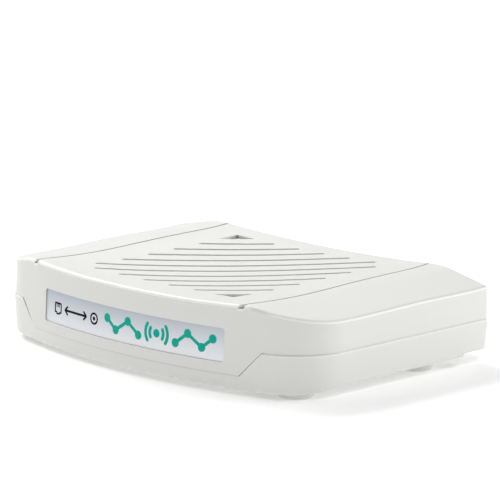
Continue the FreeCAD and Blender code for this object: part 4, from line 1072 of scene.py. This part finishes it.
# Leads along each front or back side of a chip, and along each left or right side.
LEADED = {"switch_chip": (16, 16), "flash_chip": (0, 4), "memory_chip": (0, 13)}
TRANSFORMER_LEADS = (8, 0)
ACROSS = Vector((1, 0, 0))
DEEP = Vector((0, 1, 0))


def add_lead_row(leads, start, along, away, count, pitch, top, base):
    """Gull-wing leads along one side of a chip."""
    path = [(-0.1, top), (0.3, top), (0.5, (top + base) / 2), (0.62, base + 0.14), (1.1, base + 0.12)]
    for k in range(count):
        spot = start + along * (pitch * (k - (count - 1) / 2))
        leads.tube([spot + away * reach + Vector((0, 0, height)) for reach, height in path], 0.12, 6)


def make_leads():
    """The leads of the chips and transformers, down to the board."""
    leads = Shape()
    base = box_mm("main_board")[1].z
    chips = [box_mm(node) + counts for node, counts in LEADED.items()]
    chips += [box + TRANSFORMER_LEADS for box in islands("lan_transformers")]
    for low, high, count_x, count_y in chips:
        centre = Vector(((low.x + high.x) / 2, (low.y + high.y) / 2, 0))
        half_x, half_y = (high.x - low.x) / 2, (high.y - low.y) / 2
        top = (low.z * 2 + high.z) / 3
        sides = ((count_x, 2 * half_x - 2.0, ACROSS, DEEP, half_y),
                 (count_y, 2 * half_y - 1.6, DEEP, ACROSS, half_x))
        for way in (-1, 1):
            for count, length, along, away, half in sides:
                if count:
                    add_lead_row(leads, centre + away * (way * half), along, away * way, count,
                                 length / (count - 1), top, base)
    leads.finish("chip_leads", "pin_metal")


def make_chip_dots():
    """The dot that marks the first lead of each chip."""
    dots = Shape()
    for node in LEADED:
        low, high = box_mm(node)

        def lid(u, v, lift, z=high.z):
            return u, v, z + lift

        dots.dot(lid, (low.x + 1.1, high.y - 1.1), 0.4)
    dots.finish("chip_dots", "chip_black", material="ink_grey")


# What stands on the board: single parts, and nodes that hold several.
BOARD_NODES = ("modem_chip", "memory_chip", "flash_chip", "wifi_shield", "tuner_shield", "switch_chip",
               "heatsink", "dc_jack", "power_switch", "pair_switch", "reset_switch", "led_holder",
               *(f"lan_shield_{k}" for k in range(1, 5)), "coax_in_connector", "coax_out_connector")
GROUPED_NODES = ("capacitors", "lan_transformers", "inductors", "crystals", "antenna_plugs", "board_screws")


def standing_boxes():
    """The box of each part that stands on the board."""
    boxes = [box_mm(node) for node in BOARD_NODES]
    for node in GROUPED_NODES:
        boxes += islands(node)
    return boxes


def make_board_outlines(boxes):
    """A printed outline round each larger part."""
    low, high = box_mm("main_board")

    def mask(u, v, lift):
        return u, v, high.z + lift

    gap = 0.7
    outlines = Shape()
    for a, b in boxes:
        if b.y > high.y - 2 or b.x - a.x < 3.5:
            continue
        corners = [(a.x - gap, a.y - gap), (b.x + gap, a.y - gap), (b.x + gap, b.y + gap),
                   (a.x - gap, b.y + gap)]
        outlines.stroke(mask, corners, 0.18, looped=True, step=4.0)
    outlines.finish("board_outlines", "board", material="ink_white")


def add_small_part(bodies, ends, x, y, base, size, turned):
    """A small part of half a length, half a width and a height, with a metal cap at each end."""
    long, wide, tall = size
    cap = 0.22

    def spread(along, across):
        return (across, along) if turned else (along, across)

    dx, dy = spread(long - cap, wide)
    bodies.block((x - dx, y - dy, base + 0.03), (x + dx, y + dy, base + tall), 0.05, 1)
    for side in (-1, 1):
        ox, oy = spread(side * (long - cap / 2), 0)
        hx, hy = spread(cap, wide + 0.02)
        ends.block((x + ox - hx, y + oy - hy, base + 0.02), (x + ox + hx, y + oy + hy, base + tall + 0.03),
                   0.06, 1)


def make_small_parts(boxes):
    """Small parts and plated holes, scattered wherever the board is free."""
    low, high = box_mm("main_board")
    small, large = (0.8, 0.45, 0.42), (1.0, 0.62, 0.6)
    hole = [(0.14, 0.005), (0.3, 0.005), (0.3, 0.03), (0.14, 0.03)]

    def free(x, y, gap=1.9):
        if abs(x) > high.x - 7 or y < low.y + 2.5 or y > high.y - 2:
            return False
        return all(x < a.x - gap or x > b.x + gap or y < a.y - gap or y > b.y + gap for a, b in boxes)

    draw = random.Random(5)
    bodies, ends, vias = Shape(), Shape(), Shape()
    taken = []
    for _ in range(700):
        x = round(draw.uniform(low.x, high.x) * 2) / 2
        y = round(draw.uniform(low.y, high.y) * 2) / 2
        turned = draw.random() < 0.5
        kind = draw.random()
        if not free(x, y) or any(abs(x - p) < 2.1 and abs(y - q) < 2.1 for p, q in taken):
            continue
        taken.append((x, y))
        if kind < 0.3:
            for step in (0, 0.7):
                vias.revolve(upright(x + step, y + step, high.z), hole, 16, looped=True)
            continue
        add_small_part(bodies, ends, x, y, high.z, small if kind < 0.8 else large, turned)
    bodies.finish("small_parts", "inductor")
    ends.finish("small_part_ends", "pin_metal")
    vias.finish("board_vias", "gold")


def make_antenna_tracks():
    """A track that winds along the inner face of each antenna board."""
    tracks = Shape()
    for node, side in (("antenna_left", 1), ("antenna_right", -1)):
        low, high = box_mm(node)
        x = high.x if side > 0 else low.x

        def face(u, v, lift, x=x, side=side):
            return x + side * lift, u, v

        top, bottom = high.z - 1.0, low.z + 2.4
        y = low.y + 3.0
        path = [(y, low.z + 1.0), (y, top)]
        for k in range(5):
            y += 2.6
            path += [(y, top), (y, bottom)] if k % 2 == 0 else [(y, bottom), (y, top)]
        path += [(high.y - 3.0, path[-1][1]), (high.y - 3.0, low.z + 1.0)]
        tracks.stroke(face, path, 0.9, step=0.45)
    tracks.finish("antenna_tracks", "gold")


# ---------------------------------------------------------------- build

make_camera()
for light_name, settings in LIGHTS.items():
    make_light(light_name, *settings)
make_world()
make_floor()

# Every CAD node gets the material of its slot in the record.
for subpart in frame["record"]["subparts"]:
    node = NODES[subpart["node"]]
    node.data.materials.clear()
    node.data.materials.append(MATERIALS[subpart["material_slot"]])

make_label_print()
make_feet()
make_screws("case_screws", True, 2.5, 1.8, 1.1)
make_screws("board_screws", False, 2.4, 1.4, 0.9)
make_coax_connectors()
make_toothed_washers()
make_socket_contacts()
make_lamps()
make_power_cap()
make_round_caps()
make_panel_marks()
make_sticker_print()
make_capacitors()
make_leads()
make_chip_dots()
standing = standing_boxes()
make_board_outlines(standing)
make_small_parts(standing)
make_antenna_tracks()

bpy.context.scene.view_settings.view_transform = "Standard"
